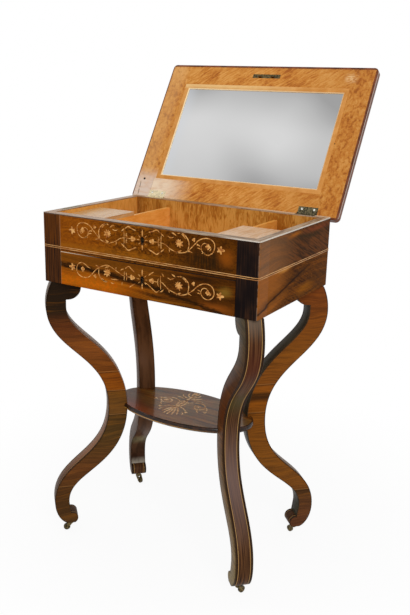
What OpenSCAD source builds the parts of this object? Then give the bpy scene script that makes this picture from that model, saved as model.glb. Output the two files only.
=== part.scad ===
// Small writing and dressing table on four scrolled legs.
// The lid carries a mirror and stands open, a tray with compartments lies under it,
// and a drawer slides out of the case below the tray.

/* [Case] */
// Width of the case, side to side
case_w = 498; // [440:1:600]
// Depth of the case, front to back
case_d = 325; // [290:1:400]
// Height of the case, from its underside to its rim
case_h = 144; // [134:1:180]
// Thickness of the side and back boards
board_t = 14; // [11:1:18]
// Thickness of the front rail and of the drawer front
front_t = 18; // [16:1:24]
// Thickness of the bottom board
bottom_t = 10; // [6:1:14]
// Radius of the upright corners
corner_r = 6; // [3:1:14]
// Width of the dark corner posts, seen from the front
post_w = 45; // [40:1:60]
// Depth of the corner posts, front to back
post_d = 40; // [34:1:50]
// Height of the fixed front above the drawer
upper_h = 75; // [68:1:90]
// Thickness of the pale band that caps the rim
rim_t = 2; // [2:0.5:4]

/* [Tray] */
// Thickness of the board between tray and drawer
tray_floor_t = 6; // [4:1:9]
// Thickness of the satinwood lining boards
lining_t = 3; // [2:0.5:4]
// Thickness of the long partitions
partition_t = 8; // [5:1:10]
// Thickness of the short cross partitions
cross_t = 6; // [4:1:8]
// Distance from the rim down to the partitions' top edges
partition_drop = 17.5; // [12:0.5:24]
// Clear width of the left compartments
left_bay_w = 84; // [60:1:120]
// Clear width of the right compartments
right_bay_w = 98; // [60:1:120]
// Length of the two covers, front to back
cover_l = 147; // [100:1:190]
// Thickness of the covers
cover_t = 8; // [5:0.5:10]
// Width of the ledges under the covers
ledge_w = 6; // [4:1:9]
// Height of the ledges under the covers
ledge_h = 8; // [5:1:12]

/* [Drawer] */
// Gap round the drawer front
drawer_gap = 0.7; // [0.5:0.1:1.5]
// Room between the drawer's back and the case's back
drawer_back_room = 21; // [13:1:90]
// Gap between the posts and the drawer sides
drawer_play = 1.5; // [1:0.5:3]
// Thickness of the drawer sides
drawer_side_t = 9; // [6:1:12]
// Room between the drawer sides and the board above them
drawer_side_room = 2.7; // [1.5:0.1:15]
// Thickness of the drawer back
drawer_back_t = 8; // [6:1:12]
// Thickness of the drawer bottom
drawer_bottom_t = 5; // [4:1:8]
// Height of the groove that holds the drawer bottom, above the sides' lower edge
drawer_bottom_rise = 3; // [2:1:8]
// Width of each drawer stop
stop_w = 30; // [20:1:60]
// Height of the drawer stops and guides above the bottom board
guide_h = 14; // [8:1:30]

/* [Lid] */
// Overhang of the lid past each side of the case
lid_side_over = 13.5; // [12:0.5:30]
// Overhang of the lid past the front of the case
lid_front_over = 24; // [14:0.5:36]
// Reach of the lid behind the hinge axis
lid_back_over = 6; // [5:0.5:6.5]
// Thickness of the lid
lid_t = 22; // [18:1:30]
// How far the lid is open, from shut
lid_open = 121; // [100:1:123]
// Width of the dark moulding round the lid, and radius of its corners
edge_w = 10; // [8:1:14]
// Rounding of the moulding's outer arris
edge_top_r = 7; // [3:0.5:8]
// Rounding of the moulding's inner arris
edge_low_r = 3; // [2.5:0.5:4]
// Thickness of the satinwood facing round the mirror
facing_t = 3; // [2:0.5:4]
// Width of the frame from the lid's edge to the fillet
frame_w = 53; // [46:1:70]
// Width of the pale fillet round the mirror
fillet_w = 12; // [8:0.5:14]
// Width of the fillet's flat beside the frame
fillet_flat = 1; // [0.6:0.1:2]
// Thickness of the fillet at the glass
fillet_low = 0.8; // [0.6:0.1:1.2]
// Thickness of the mirror glass
glass_t = 4; // [3:0.5:5]
// Thickness of the board behind the glass
backing_t = 1.2; // [1:0.1:2]

/* [Hinges and locks] */
// Length of each hinge
hinge_l = 45; // [35:1:60]
// Distance of each hinge's middle from the table's middle
hinge_x = 192.5; // [120:0.5:200]
// Width of a hinge leaf from the axis
leaf_w = 16; // [12:0.5:17]
// Thickness of a hinge leaf
leaf_t = 1.5; // [1:0.1:1.8]
// Radius of the hinge barrel
barrel_r = 2.5; // [2.2:0.1:2.7]
// Radius of the hinge pin
hinge_pin_r = 1.2; // [1:0.1:1.5]
// Distance of the hinge axis behind the case
hinge_back = 2.8; // [2.8:0.1:3.2]
// Width of the lid lock
lock_w = 56; // [50:1:70]
// Height of the lid lock
lock_h = 32; // [28:1:40]
// Thickness of the lid lock
lock_t = 7; // [6:0.5:8]
// Distance of the lid lock's middle plane behind the front face
lock_back = 6; // [5.5:0.5:8]
// Width of the drawer lock
drawer_lock_w = 50; // [40:1:60]
// Height of the drawer lock
drawer_lock_h = 36; // [34:1:44]
// Thickness of the drawer lock
drawer_lock_t = 9; // [7:0.5:10]
// Travel of both lock bolts
bolt_travel = 7; // [5:0.5:8]
// Thickness of both lock bolts
bolt_t = 3; // [2:0.5:3.5]
// Depth of the upper keyhole below the rim
upper_key_drop = 28; // [20:1:30]
// Depth of the drawer keyhole below the drawer front's top
drawer_key_drop = 29; // [22:1:30]
// Length of the strike plate on the lid
strike_l = 70; // [60:1:90]
// Width of the strike plate
strike_w = 10; // [8:0.5:12]
// Length of the old stay plate on the left rim
stay_l = 62; // [40:1:90]
// Distance of the stay plate's middle in front of the case's middle
stay_y = 82; // [50:1:100]

/* [Legs] */
// Height of a leg, from the foot's flat to the case
leg_h = 569; // [480:1:640]
// Thickness of the leg plank
leg_t = 37; // [28:1:42]
// Width of the scrolled band from knee to waist
band_w = 42; // [34:1:46]
// Width of the band at the ankle
ankle_w = 32; // [26:1:36]
// Depth of the knee's widest point below the case
knee_drop = 54; // [44:1:70]
// Radius of the knee's outer curve above that point
knee_r = 119; // [90:1:160]
// Distance from the case corner in to the middle of the band at the waist
waist_in = 150; // [130:1:160]
// Distance from the case corner in to the middle of the band at the ankle
ankle_in = 22; // [10:1:40]
// Height of the ankle's widest point above the foot's flat
ankle_rise = 54; // [48:1:64]
// Radius of the foot scroll
foot_r = 14; // [12:0.5:16]
// Distance from the case corner in to the middle of the foot scroll
foot_in = 43; // [40:0.5:46]
// Radius of the scroll under the case
top_scroll_r = 26; // [20:0.5:30]
// Distance from the case corner in to the middle of the top scroll
top_scroll_in = 47.5; // [44:0.5:52]
// Depth of the top scroll's middle below the case
top_scroll_drop = 13; // [8:1:18]
// Pull of the curve at the knee
knee_pull = 85; // [60:1:110]
// Pull of the curve above the waist
waist_pull_up = 135; // [110:1:150]
// Pull of the curve below the waist
waist_pull_down = 140; // [110:1:150]
// Pull of the curve at the ankle
ankle_pull = 92; // [70:1:110]
// Radius of the round tenon on a leg
tenon_r = 7; // [5:0.5:8]
// Length of the round tenon on a leg
tenon_l = 30; // [20:1:40]
// Distance from the case corner in to the tenon
tenon_in = 34; // [32:0.5:36]

/* [Shelf] */
// Height of the shelf's top above the floor
shelf_z = 312; // [260:1:360]
// Reach of the shelf's ends past the legs, side to side
shelf_end = 30; // [20:1:50]
// Depth of the notches in the shelf's rim that take the legs
shelf_let = 11.5; // [6:0.5:16]
// Thickness of the shelf board
shelf_t = 12; // [10:0.5:18]
// Width of the moulding round the shelf
shelf_edge_w = 4; // [3:0.5:6]
// Radius of the dowels between legs and shelf
dowel_r = 3; // [2:0.25:3.5]
// Length of the dowels between legs and shelf
dowel_l = 30; // [20:1:40]

/* [Castors] */
// Height of a castor, from the floor to the foot's flat
castor_h = 26; // [25:1:36]
// Radius of the wheel
wheel_r = 7.5; // [6:0.5:9]
// Width of the wheel
wheel_w = 7; // [5:0.5:9]
// Distance of the wheel's axle from the swivel axis
trail = 9; // [6:0.5:11]
// Radius of the axle
axle_r = 1.5; // [1:0.1:2]
// Radius of the swivel stem
stem_r = 2.5; // [2:0.1:3]
// Distance of the castor's stem from the middle of the foot scroll, towards the corner
castor_out = 2; // [0:0.5:4]
// Radius of the plate on the foot
castor_plate_r = 8; // [7:0.5:8.5]
// Thickness of the fork's cheeks
cheek_t = 1.8; // [1.4:0.1:2.4]

/* [Fits] */
// Clearance between pieces that slide or lie loose
fit = 0.3; // [0.2:0.05:0.4]
// Radial clearance of pins and stems in their bores
pin_fit = 0.05; // [0.03:0.01:0.08]
// Smoothness of round surfaces
smooth = 64; // [32:4:96]

/* [Hidden] */
$fn = smooth;

// Heights above the floor
case_z = castor_h + leg_h;
castor_in = foot_in - castor_out;
rim_z = case_z + case_h;
board_top = rim_z - rim_t;
rail_z = rim_z - upper_h;
tray_z = rail_z + tray_floor_t;
divider_z = rim_z - partition_drop;
runner_z = case_z + bottom_t;
drawer_top = rail_z - drawer_gap;
waist_z = shelf_z - shelf_t / 2;
knee_z = case_z - knee_drop;
ankle_z = castor_h + ankle_rise;

// Places in plan, measured from the middle of the case
half_w = case_w / 2;
half_d = case_d / 2;
inner_w = half_w - board_t;
inner_back = half_d - board_t;
rail_back = front_t - half_d;
post_back = post_d - half_d;
post_in = half_w - post_w;
well_w = inner_w - lining_t;
well_back = inner_back - lining_t;
well_front = rail_back + lining_t;
left_wall = left_bay_w - well_w;
right_wall = well_w - right_bay_w;
cover_back = well_front + cover_l;

// The drawer
drawer_back_y = inner_back - drawer_back_room;
drawer_out = post_in - drawer_play;
drawer_in = drawer_out - drawer_side_t;
drawer_z = runner_z + fit;
drawer_side_h = rail_z - drawer_side_room - drawer_z;
groove_d = drawer_side_t / 3;
tails = 3;
tail_l = front_t * 2 / 3;
tail_share = 0.6;
tail_w = drawer_side_h / tails * tail_share;
tail_flare = 2;
tail_gap = 0.1;
stop_x = drawer_in / 2;
stop_d = 12;

// The lid in its own frame: the hinge axis is the origin, and the lid lies shut
hinge_y = half_d + hinge_back;
lid_half = half_w + lid_side_over;
lid_reach = case_d + hinge_back + lid_front_over;
lid_mid = (lid_back_over - lid_reach) / 2;
lid_depth = lid_reach + lid_back_over;
lid_low = fit;
face_z = lid_low + facing_t;
opening_w = 2 * (lid_half - frame_w);
opening_d = lid_depth - 2 * frame_w;
knuckle_gap = fit / 2;

// The lid's lock: a bar with two prongs that rise into the strike plate
lock_y = lock_back - half_d;
strike_shift = 2.5;
strike_y = lock_y - hinge_y - strike_shift;
prong_w = 8;
prong_gap = 12;
prong_l = 16;
prong_room_h = bolt_travel + 2;
bar_half = prong_gap + prong_w;
bar_h = 6;
bar_z = rim_z - fit - prong_l - bar_h;

// The drawer's lock
drawer_bolt_w = 16;
drawer_bolt_h = 18;
drawer_bolt_y = rail_back - drawer_lock_t / 2;

// Keyholes and their brass linings
key_r = 2.2;
key_slot = 1.1;
key_l = 8;
key_wall = 1.2;
key_gap = 0.1;
key_proud = 0.3;
key_depth = 2.2;

// The stay plate, let into the left rim
stay_w = 8;
stay_t = 1.2;
stay_hole_r = 2;
stay_x = stay_w - half_w;

// The whole table is set back or forward so that its open footprint is centred
lean = lid_open - 90;
nose_y = (lid_reach - edge_top_r) * sin(lean) + (lid_low + lid_t - edge_top_r) * cos(lean);
back_reach = hinge_y + nose_y + edge_top_r;
front_reach = half_d + leg_t / 2 * sin(45);
shift_y = (front_reach - back_reach) / 2;

// The legs' middle lines, from knee to waist and from waist to ankle
leg_steps = 24;
heel_steps = 12;
waist_face = waist_in + band_w / 2;
upper_curve = [[-band_w / 2, knee_z], [-band_w / 2, knee_z - knee_pull],
               [-waist_in, waist_z + waist_pull_up], [-waist_in, waist_z]];
lower_curve = [[-waist_in, waist_z], [-waist_in, waist_z - waist_pull_down],
               [-ankle_in, ankle_z + ankle_pull], [-ankle_in, ankle_z]];

// The heel's curve, from the ankle's outer side round to the bottom of the foot scroll.
// Scroll and heel reach a little below the leg and are cut off flat there.
sole_cut = 2;
foot_z = castor_h - sole_cut + foot_r;
heel_x = ankle_w / 2 - ankle_in;
sole_z = castor_h - sole_cut;
heel_curve = [[heel_x, ankle_z], [heel_x, ankle_z - 0.55 * (ankle_z - sole_z)],
              [-foot_in + 0.58 * (foot_in + heel_x), sole_z], [-foot_in, sole_z]];

// The shelf is an oval that crosses each leg's middle plane a notch's depth outside the leg's face
shelf_x = half_w - (waist_face - shelf_let) * sin(45);
shelf_y = half_d - (waist_face - shelf_let) * sin(45);
shelf_a = shelf_x + shelf_end;
shelf_b = shelf_y / sqrt(1 - pow(shelf_x / shelf_a, 2));
oval_steps = 96;
nose_steps = 6;
dowel_gap = 0.1;

// The castors
plate_t = 2.5;
boss_t = 3;
boss_r = 6;
crown_t = 3;
crown_r = 6.5;
hub_r = 3.5;
wheel_round = 1.5;
crown_top = castor_h - plate_t - boss_t - fit;
stem_head_r = stem_r + 0.8;
stem_head_h = 4;
stem_head_z = castor_h + fit;
// Where each wheel trails at rest, in degrees seen from above
turn_fl = 225;
turn_fr = 71;
turn_br = 161;
turn_bl = -19;

// A box between two corners
module block(x0, x1, y0, y1, z0, z1) {
    translate([x0, y0, z0]) cube([x1 - x0, y1 - y0, z1 - z0]);
}

// A box on the right, or with s = -1 its mirror image on the left
module side_block(s, x0, x1, y0, y1, z0, z1) {
    block(min(s * x0, s * x1), max(s * x0, s * x1), y0, y1, z0, z1);
}

// A piece and its mirror image on the other side
module pair() {
    children();
    mirror([1, 0, 0]) children();
}

// A rectangle with round corners
module round_rect(w, d, r) {
    square([w - 2 * r, d], center = true);
    square([w, d - 2 * r], center = true);
    for (x = [r - w / 2, w / 2 - r], y = [r - d / 2, d / 2 - r]) translate([x, y]) circle(r);
}

// The outer form of the case between two heights
module case_form(z0, z1) {
    translate([0, 0, z0]) linear_extrude(z1 - z0) round_rect(case_w, case_d, corner_r);
}

// Everything that stands on the legs or hangs from the case
module table() {
    translate([0, shift_y, 0]) children();
}

// The lid's own frame, swung open about the hinge axis
module on_lid() {
    table() translate([0, hinge_y, rim_z]) rotate([-lid_open, 0, 0]) children();
}

// A frame at one corner of the case, with +X pointing outwards along the leg's plank
module at_corner(sx, sy) {
    translate([sx * half_w, sy * half_d, 0]) rotate([0, 0, atan2(sy, sx)]) children();
}

// All four corners
module corners() {
    for (sx = [-1, 1], sy = [-1, 1]) at_corner(sx, sy) children();
}

// A keyhole seen from the front, drawn around its round part
module keyhole(r, slot_w, slot_l) {
    circle(r);
    translate([-slot_w / 2, -slot_l]) square([slot_w, slot_l]);
}

// A keyhole's outline carried from one depth to another
module key_cut(z, grow, y0, y1) {
    translate([0, y1, z]) rotate([90, 0, 0]) linear_extrude(y1 - y0) {
        keyhole(key_r + grow, 2 * (key_slot + grow), key_l + grow);
    }
}

// The bores for the legs' tenons
module tenon_bores() {
    corners() translate([-tenon_in, 0, case_z - 1]) cylinder(r = tenon_r + fit, h = tenon_l + 2);
}

module case_side(s) {
    color("saddlebrown") table() intersection() {
        case_form(case_z, board_top);
        side_block(s, inner_w, half_w, post_back, half_d, case_z, board_top);
    }
}

module case_side_left() {
    case_side(-1);
}

module case_side_right() {
    case_side(1);
}

module case_back() {
    color("sienna") table() block(-inner_w, inner_w, inner_back, half_d, case_z, board_top);
}

module case_bottom() {
    color("burlywood") table() difference() {
        block(-inner_w, inner_w, rail_back + fit, inner_back, case_z, runner_z);
        for (s = [-1, 1]) side_block(s, post_in, inner_w + 1, -half_d, post_back, case_z - 1, runner_z + 1);
        tenon_bores();
    }
}

// A corner post: a full block beside the drawer, an angle beside the tray
module corner_post(s) {
    color("#2a1810") table() difference() {
        intersection() {
            case_form(case_z, board_top);
            side_block(s, post_in, half_w, -half_d, post_back, case_z, board_top);
        }
        side_block(s, post_in - 1, inner_w, rail_back, post_back + 1, rail_z, board_top + 1);
        tenon_bores();
    }
}

module front_post_left() {
    corner_post(-1);
}

module front_post_right() {
    corner_post(1);
}

module corner_blocks() {
    color("burlywood") table() difference() {
        pair() block(post_in, inner_w, inner_back - post_d, inner_back, runner_z, rail_z);
        tenon_bores();
    }
}

module front_rail() {
    color("peru") table() difference() {
        block(-post_in, post_in, -half_d, rail_back, rail_z, board_top);
        block(-lock_w / 2 - fit, lock_w / 2 + fit, lock_y - lock_t / 2 - fit, lock_y + lock_t / 2 + fit,
              board_top - lock_h - fit, board_top + 1);
        key_cut(rim_z - upper_key_drop, key_wall + key_gap, -half_d - 1, lock_y);
        block(-drawer_bolt_w / 2 - fit, drawer_bolt_w / 2 + fit, drawer_bolt_y - bolt_t / 2 - fit,
              drawer_bolt_y + bolt_t / 2 + fit, rail_z - 1, rail_z + bolt_travel + fit);
    }
}

module rim_band() {
    color("tan") table() difference() {
        case_form(board_top, rim_z);
        block(-well_w, well_w, well_front, well_back, board_top - 1, rim_z + 1);
        pair() prong_room(fit, board_top - 1, rim_z + 1);
        pair() block(hinge_x - hinge_l / 2, hinge_x + hinge_l / 2, hinge_y - leaf_w, half_d + 1,
                     rim_z - leaf_t, rim_z + 1);
        stay_form(1);
    }
}

// The way that one prong of the lid's bolt takes, with room round it
module prong_room(room, z0, z1) {
    block(prong_gap - room, prong_gap + prong_w + room, lock_y - bolt_t / 2 - room,
          lock_y + bolt_t / 2 + room, z0, z1);
}

// The stay plate's form, with room above it for its recess
module stay_form(above) {
    block(stay_x - stay_w / 2, stay_x + stay_w / 2, -stay_y - stay_l / 2, stay_l / 2 - stay_y,
          rim_z - stay_t, rim_z + above);
}

module stay_plate() {
    color("darkgoldenrod") table() difference() {
        stay_form(0);
        translate([stay_x, stay_w - stay_y - stay_l / 2, rim_z - stay_t - 1]) {
            cylinder(r = stay_hole_r, h = stay_t + 2);
        }
    }
}

module tray_floor() {
    color("burlywood") table() block(-inner_w, inner_w, rail_back, inner_back, rail_z, tray_z);
}

module tray_lining() {
    color("goldenrod") table() difference() {
        block(-inner_w, inner_w, rail_back, inner_back, tray_z, board_top);
        block(-well_w, well_w, well_front, well_back, tray_z - 1, board_top + 1);
    }
}

module partition(x) {
    color("orange") table() block(x, x + partition_t, well_front, well_back, tray_z, divider_z);
}

module partition_left() {
    partition(left_wall);
}

module partition_right() {
    partition(right_wall - partition_t);
}

module cross_partition(x0, x1) {
    color("orange") table() block(x0, x1, cover_back - cross_t, cover_back, tray_z, divider_z);
}

module cross_partition_left() {
    cross_partition(-well_w, left_wall);
}

module cross_partition_right() {
    cross_partition(right_wall, well_w);
}

module cover_ledges() {
    color("peru") table() pair() {
        block(well_w - ledge_w, well_w, well_front, cover_back - cross_t, divider_z - ledge_h, divider_z);
    }
}

module cover(x0, x1) {
    color("burlywood") table() block(x0, x1, well_front + fit, cover_back, divider_z, divider_z + cover_t);
}

module cover_left() {
    cover(fit - well_w, left_wall + partition_t);
}

module cover_right() {
    cover(right_wall - partition_t, well_w - fit);
}

module drawer_guides() {
    color("burlywood") table() pair() {
        block(post_in, inner_w, post_back, inner_back - post_d, runner_z, runner_z + guide_h);
    }
}

module drawer_stops() {
    color("burlywood") table() pair() {
        block(stop_x, stop_x + stop_w, drawer_back_y + fit, drawer_back_y + stop_d, runner_z, runner_z + guide_h);
    }
}

module drawer_front() {
    w = post_in - drawer_gap;
    color("peru") table() difference() {
        block(-w, w, -half_d, rail_back, case_z, drawer_top);
        block(-drawer_lock_w / 2 - fit, drawer_lock_w / 2 + fit, rail_back - drawer_lock_t - fit, rail_back + 1,
              drawer_top - drawer_lock_h - fit, drawer_top + 1);
        key_cut(drawer_top - drawer_key_drop, key_wall + key_gap, -half_d - 1, rail_back - drawer_lock_t);
        dovetails(0);
    }
}

// The tails on the front end of the left drawer side, with room round them
module dovetails(room) {
    for (s = [-1, 1], k = [0:tails - 1]) {
        z = drawer_z + (k + 0.5) * drawer_side_h / tails;
        translate([s > 0 ? drawer_in : -drawer_out, rail_back - tail_l, z]) rotate([90, 0, 90]) {
            linear_extrude(drawer_side_t) polygon([
                [-room, -tail_w / 2 - room], [-room, tail_w / 2 + room],
                [tail_l + 1, tail_w / 2 - tail_flare + room], [tail_l + 1, tail_flare - tail_w / 2 - room]
            ]);
        }
    }
}

module drawer_side(s) {
    groove_z = drawer_z + drawer_bottom_rise;
    color("burlywood") table() {
        difference() {
            side_block(s, drawer_in, drawer_out, rail_back, drawer_back_y, drawer_z, drawer_z + drawer_side_h);
            side_block(s, drawer_in - 1, drawer_in + groove_d, rail_back - 1, drawer_back_y + 1,
                       groove_z, groove_z + drawer_bottom_t);
        }
        intersection() {
            dovetails(-tail_gap);
            side_block(s, drawer_in, drawer_out, -half_d, rail_back, drawer_z, drawer_z + drawer_side_h);
        }
    }
}

module drawer_side_left() {
    drawer_side(-1);
}

module drawer_side_right() {
    drawer_side(1);
}

module drawer_back() {
    color("burlywood") table() {
        block(-drawer_in, drawer_in, drawer_back_y - drawer_back_t, drawer_back_y,
              drawer_z + drawer_bottom_rise + drawer_bottom_t, drawer_z + drawer_side_h);
    }
}

module drawer_bottom() {
    w = drawer_in + groove_d;
    z = drawer_z + drawer_bottom_rise;
    color("wheat") table() block(-w, w, rail_back, drawer_back_y, z, z + drawer_bottom_t);
}

// The moulding's section: square towards the lid, rounded above and below outside
module edge_section() {
    intersection() {
        square([edge_w, lid_t]);
        union() {
            square([edge_w - edge_top_r, lid_t]);
            square([edge_w - edge_low_r, lid_t - edge_top_r]);
            translate([0, edge_low_r]) square([edge_w, lid_t - edge_low_r - edge_top_r]);
            translate([edge_w - edge_low_r, edge_low_r]) circle(edge_low_r);
            translate([edge_w - edge_top_r, lid_t - edge_top_r]) circle(edge_top_r);
        }
    }
}

// A straight length of a section, centred on its middle
module run(length) {
    translate([0, length / 2, 0]) rotate([90, 0, 0]) linear_extrude(length) children();
}

// The room that the hinge barrels and the lid's leaves need in the lid
module hinge_room() {
    pair() {
        translate([hinge_x - hinge_l / 2 - fit, 0, 0]) rotate([0, 90, 0]) {
            cylinder(r = barrel_r + fit, h = hinge_l + 2 * fit);
        }
        block(hinge_x - hinge_l / 2, hinge_x + hinge_l / 2, -leaf_w, 0, lid_low - 1, lid_low + leaf_t);
    }
}

// The room that the strike plate and the bolt's prongs need in the lid
module strike_room() {
    strike_form(lid_low - 1);
    pair() translate([0, -hinge_y, 0]) prong_room(1, lid_low - 1, lid_low + prong_room_h);
}

// The strike plate's form from a lower level up to its back
module strike_form(z) {
    block(-strike_l / 2, strike_l / 2, strike_y - strike_w / 2, strike_y + strike_w / 2, z, lid_low + leaf_t);
}

module lid_moulding() {
    across = lid_half - edge_w;
    along = lid_depth / 2 - edge_w;
    color("#2a1810") on_lid() difference() {
        translate([0, lid_mid, lid_low]) {
            for (a = [0, 180]) {
                rotate(a) translate([across, 0, 0]) run(2 * along) edge_section();
                rotate(a + 90) translate([along, 0, 0]) run(2 * across) edge_section();
                rotate(a) translate([across, along, 0]) rotate_extrude(angle = 90) edge_section();
                rotate(a) translate([-across, along, 0]) rotate(90) rotate_extrude(angle = 90) edge_section();
            }
        }
        hinge_room();
    }
}

// A flat board inside the moulding between two levels of the lid
module lid_layer(z0, z1) {
    block(edge_w - lid_half, lid_half - edge_w, edge_w - lid_reach, lid_back_over - edge_w, z0, z1);
}

// The space for the mirror between two levels of the lid, narrowed by a margin
module mirror_space(margin, z0, z1) {
    w = opening_w / 2 - margin;
    d = opening_d / 2 - margin;
    block(-w, w, lid_mid - d, lid_mid + d, z0, z1);
}

module lid_board() {
    color("saddlebrown") on_lid() difference() {
        lid_layer(face_z, lid_low + lid_t);
        mirror_space(0, face_z - 1, face_z + glass_t + backing_t);
        strike_room();
    }
}

module lid_facing() {
    color("goldenrod") on_lid() difference() {
        lid_layer(lid_low, face_z);
        mirror_space(0, lid_low - 1, face_z + 1);
        hinge_room();
        strike_room();
    }
}

module mirror_glass() {
    color("lightsteelblue") on_lid() mirror_space(fit, face_z, face_z + glass_t);
}

module mirror_backing() {
    color("dimgray") on_lid() mirror_space(fit, face_z + glass_t, face_z + glass_t + backing_t);
}

// The fillet's section: an ovolo that falls from the facing to the glass
module fillet_section() {
    polygon(concat([[0, 0], [0, facing_t]],
        [for (a = [0:15:90]) [fillet_flat + (fillet_w - fillet_flat) * sin(a),
                              fillet_low + (facing_t - fillet_low) * cos(a)]],
        [[fillet_w, 0]]));
}

// One mitred side of the fillet, centred on its middle and lying along Y
module fillet_side(length) {
    intersection() {
        run(length) fillet_section();
        linear_extrude(facing_t) {
            polygon([[0, -length / 2], [0, length / 2], [fillet_w, length / 2 - fillet_w],
                     [fillet_w, fillet_w - length / 2]]);
        }
    }
}

module mirror_fillet() {
    w = opening_w / 2;
    d = opening_d / 2;
    color("khaki") on_lid() translate([0, lid_mid, face_z]) mirror([0, 0, 1]) {
        for (a = [0, 180]) {
            rotate(a) translate([-w, 0, 0]) fillet_side(opening_d);
            rotate(a + 90) translate([-d, 0, 0]) fillet_side(opening_w);
        }
    }
}

// Knuckles of one hinge leaf: k counts them from the middle of the table outwards
module knuckles(list, grow, r) {
    step = hinge_l / 5;
    for (k = list) {
        translate([hinge_x - hinge_l / 2 + k * step - grow, 0, 0]) rotate([0, 90, 0]) {
            cylinder(r = r, h = step + 2 * grow);
        }
    }
}

// One hinge leaf: a plate with its own knuckles, cut clear of the other leaf's
module hinge_leaf(own, other, z) {
    difference() {
        union() {
            difference() {
                block(hinge_x - hinge_l / 2, hinge_x + hinge_l / 2, -leaf_w, 0, z, z + leaf_t);
                knuckles(other, knuckle_gap, barrel_r + fit);
            }
            knuckles(own, -knuckle_gap, barrel_r);
        }
        knuckles([0, 1, 2, 3, 4], 1, hinge_pin_r + pin_fit);
    }
}

module hinge_case_leaves() {
    color("darkgoldenrod") table() translate([0, hinge_y, rim_z]) pair() {
        hinge_leaf([0, 2, 4], [1, 3], -leaf_t);
    }
}

module hinge_lid_leaves() {
    color("darkgoldenrod") on_lid() pair() hinge_leaf([1, 3], [0, 2, 4], lid_low);
}

module hinge_pins() {
    color("goldenrod") table() translate([0, hinge_y, rim_z]) pair() {
        translate([hinge_x - hinge_l / 2, 0, 0]) rotate([0, 90, 0]) cylinder(r = hinge_pin_r, h = hinge_l);
    }
}

module lid_lock() {
    color("darkgoldenrod") table() difference() {
        block(-lock_w / 2, lock_w / 2, lock_y - lock_t / 2, lock_y + lock_t / 2, board_top - lock_h, board_top);
        block(-bar_half - fit, bar_half + fit, lock_y - bolt_t / 2 - fit, lock_y + bolt_t / 2 + fit,
              bar_z - fit, bar_z + bar_h + bolt_travel + fit);
        pair() prong_room(fit, bar_z, board_top + 1);
    }
}

module lid_lock_bolt() {
    color("goldenrod") table() {
        block(-bar_half, bar_half, lock_y - bolt_t / 2, lock_y + bolt_t / 2, bar_z, bar_z + bar_h);
        pair() prong_room(0, bar_z, rim_z - fit);
    }
}

module lid_strike() {
    color("darkgoldenrod") on_lid() difference() {
        strike_form(lid_low);
        pair() translate([0, -hinge_y, 0]) prong_room(1, lid_low - 1, lid_low + leaf_t + 1);
    }
}

module drawer_lock() {
    color("darkgoldenrod") table() difference() {
        block(-drawer_lock_w / 2, drawer_lock_w / 2, rail_back - drawer_lock_t, rail_back,
              drawer_top - drawer_lock_h, drawer_top);
        drawer_bolt_form(fit, drawer_top + 1);
    }
}

// The drawer bolt's form, with room round it
module drawer_bolt_form(room, top) {
    w = drawer_bolt_w / 2 + room;
    d = bolt_t / 2 + room;
    block(-w, w, drawer_bolt_y - d, drawer_bolt_y + d, drawer_top - drawer_bolt_h - room, top);
}

module drawer_lock_bolt() {
    color("goldenrod") table() drawer_bolt_form(0, drawer_top - fit);
}

// A keyhole lining: a thin brass wall round the hole, just proud of the face
module escutcheon(z) {
    color("goldenrod") table() difference() {
        key_cut(z, key_wall, -half_d - key_proud, key_depth - half_d);
        key_cut(z, 0, -half_d - 1, key_depth - half_d + 1);
    }
}

module upper_escutcheon() {
    escutcheon(rim_z - upper_key_drop);
}

module drawer_escutcheon() {
    escutcheon(drawer_top - drawer_key_drop);
}

// A point on a cubic curve, and the unit direction of the curve there
function bez(p, t) = pow(1 - t, 3) * p[0] + 3 * pow(1 - t, 2) * t * p[1]
    + 3 * (1 - t) * t * t * p[2] + pow(t, 3) * p[3];
function bez_step(p, t) = pow(1 - t, 2) * (p[1] - p[0]) + 2 * (1 - t) * t * (p[2] - p[1])
    + t * t * (p[3] - p[2]);
function unit(v) = v / norm(v);

// A point beside the leg's middle line, towards the outside of the table when d is positive
function beside(p, t, d) = let (u = unit(bez_step(p, t))) bez(p, t) + d * [-u[1], u[0]];

// The band's width below the waist eases from the band's to the ankle's
function lower_w(t) = band_w + (ankle_w - band_w) * t * t * (3 - 2 * t);

// One side of the band from knee to ankle: side is 1 outside and -1 inside
function band_side(side) = concat(
    [for (i = [0:leg_steps]) beside(upper_curve, i / leg_steps, side * band_w / 2)],
    [for (i = [1:leg_steps]) let (t = i / leg_steps) beside(lower_curve, t, side * lower_w(t) / 2)]);

// The heel, from the ankle down to the bottom of the foot scroll
function heel() = [for (i = [1:heel_steps]) bez(heel_curve, i / heel_steps)];

// The knee's outer curve from the case down to its widest point
function knee() = [for (i = [0:heel_steps - 1]) let (z = knee_drop * (1 - i / heel_steps))
    [sqrt(knee_r * knee_r - z * z) - knee_r, knee_z + z]];

function reversed(list) = [for (i = [len(list) - 1:-1:0]) list[i]];

// The plank's outline, seen along its thickness
module leg_outline() {
    top_scroll_z = case_z - top_scroll_drop;
    difference() {
        union() {
            polygon(concat(knee(), band_side(1), heel(), [[-foot_in, foot_z]],
                reversed(band_side(-1)), [[-band_w, top_scroll_z], [-top_scroll_in, top_scroll_z],
                [-top_scroll_in, case_z]]));
            translate([-foot_in, foot_z]) circle(foot_r);
            translate([-top_scroll_in, top_scroll_z]) circle(top_scroll_r);
        }
        translate([-top_scroll_in - top_scroll_r - 1, case_z]) square(2 * top_scroll_r + top_scroll_in);
        translate([-foot_in - foot_r, castor_h - foot_r]) square([foot_in + foot_r, foot_r]);
    }
}

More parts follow.
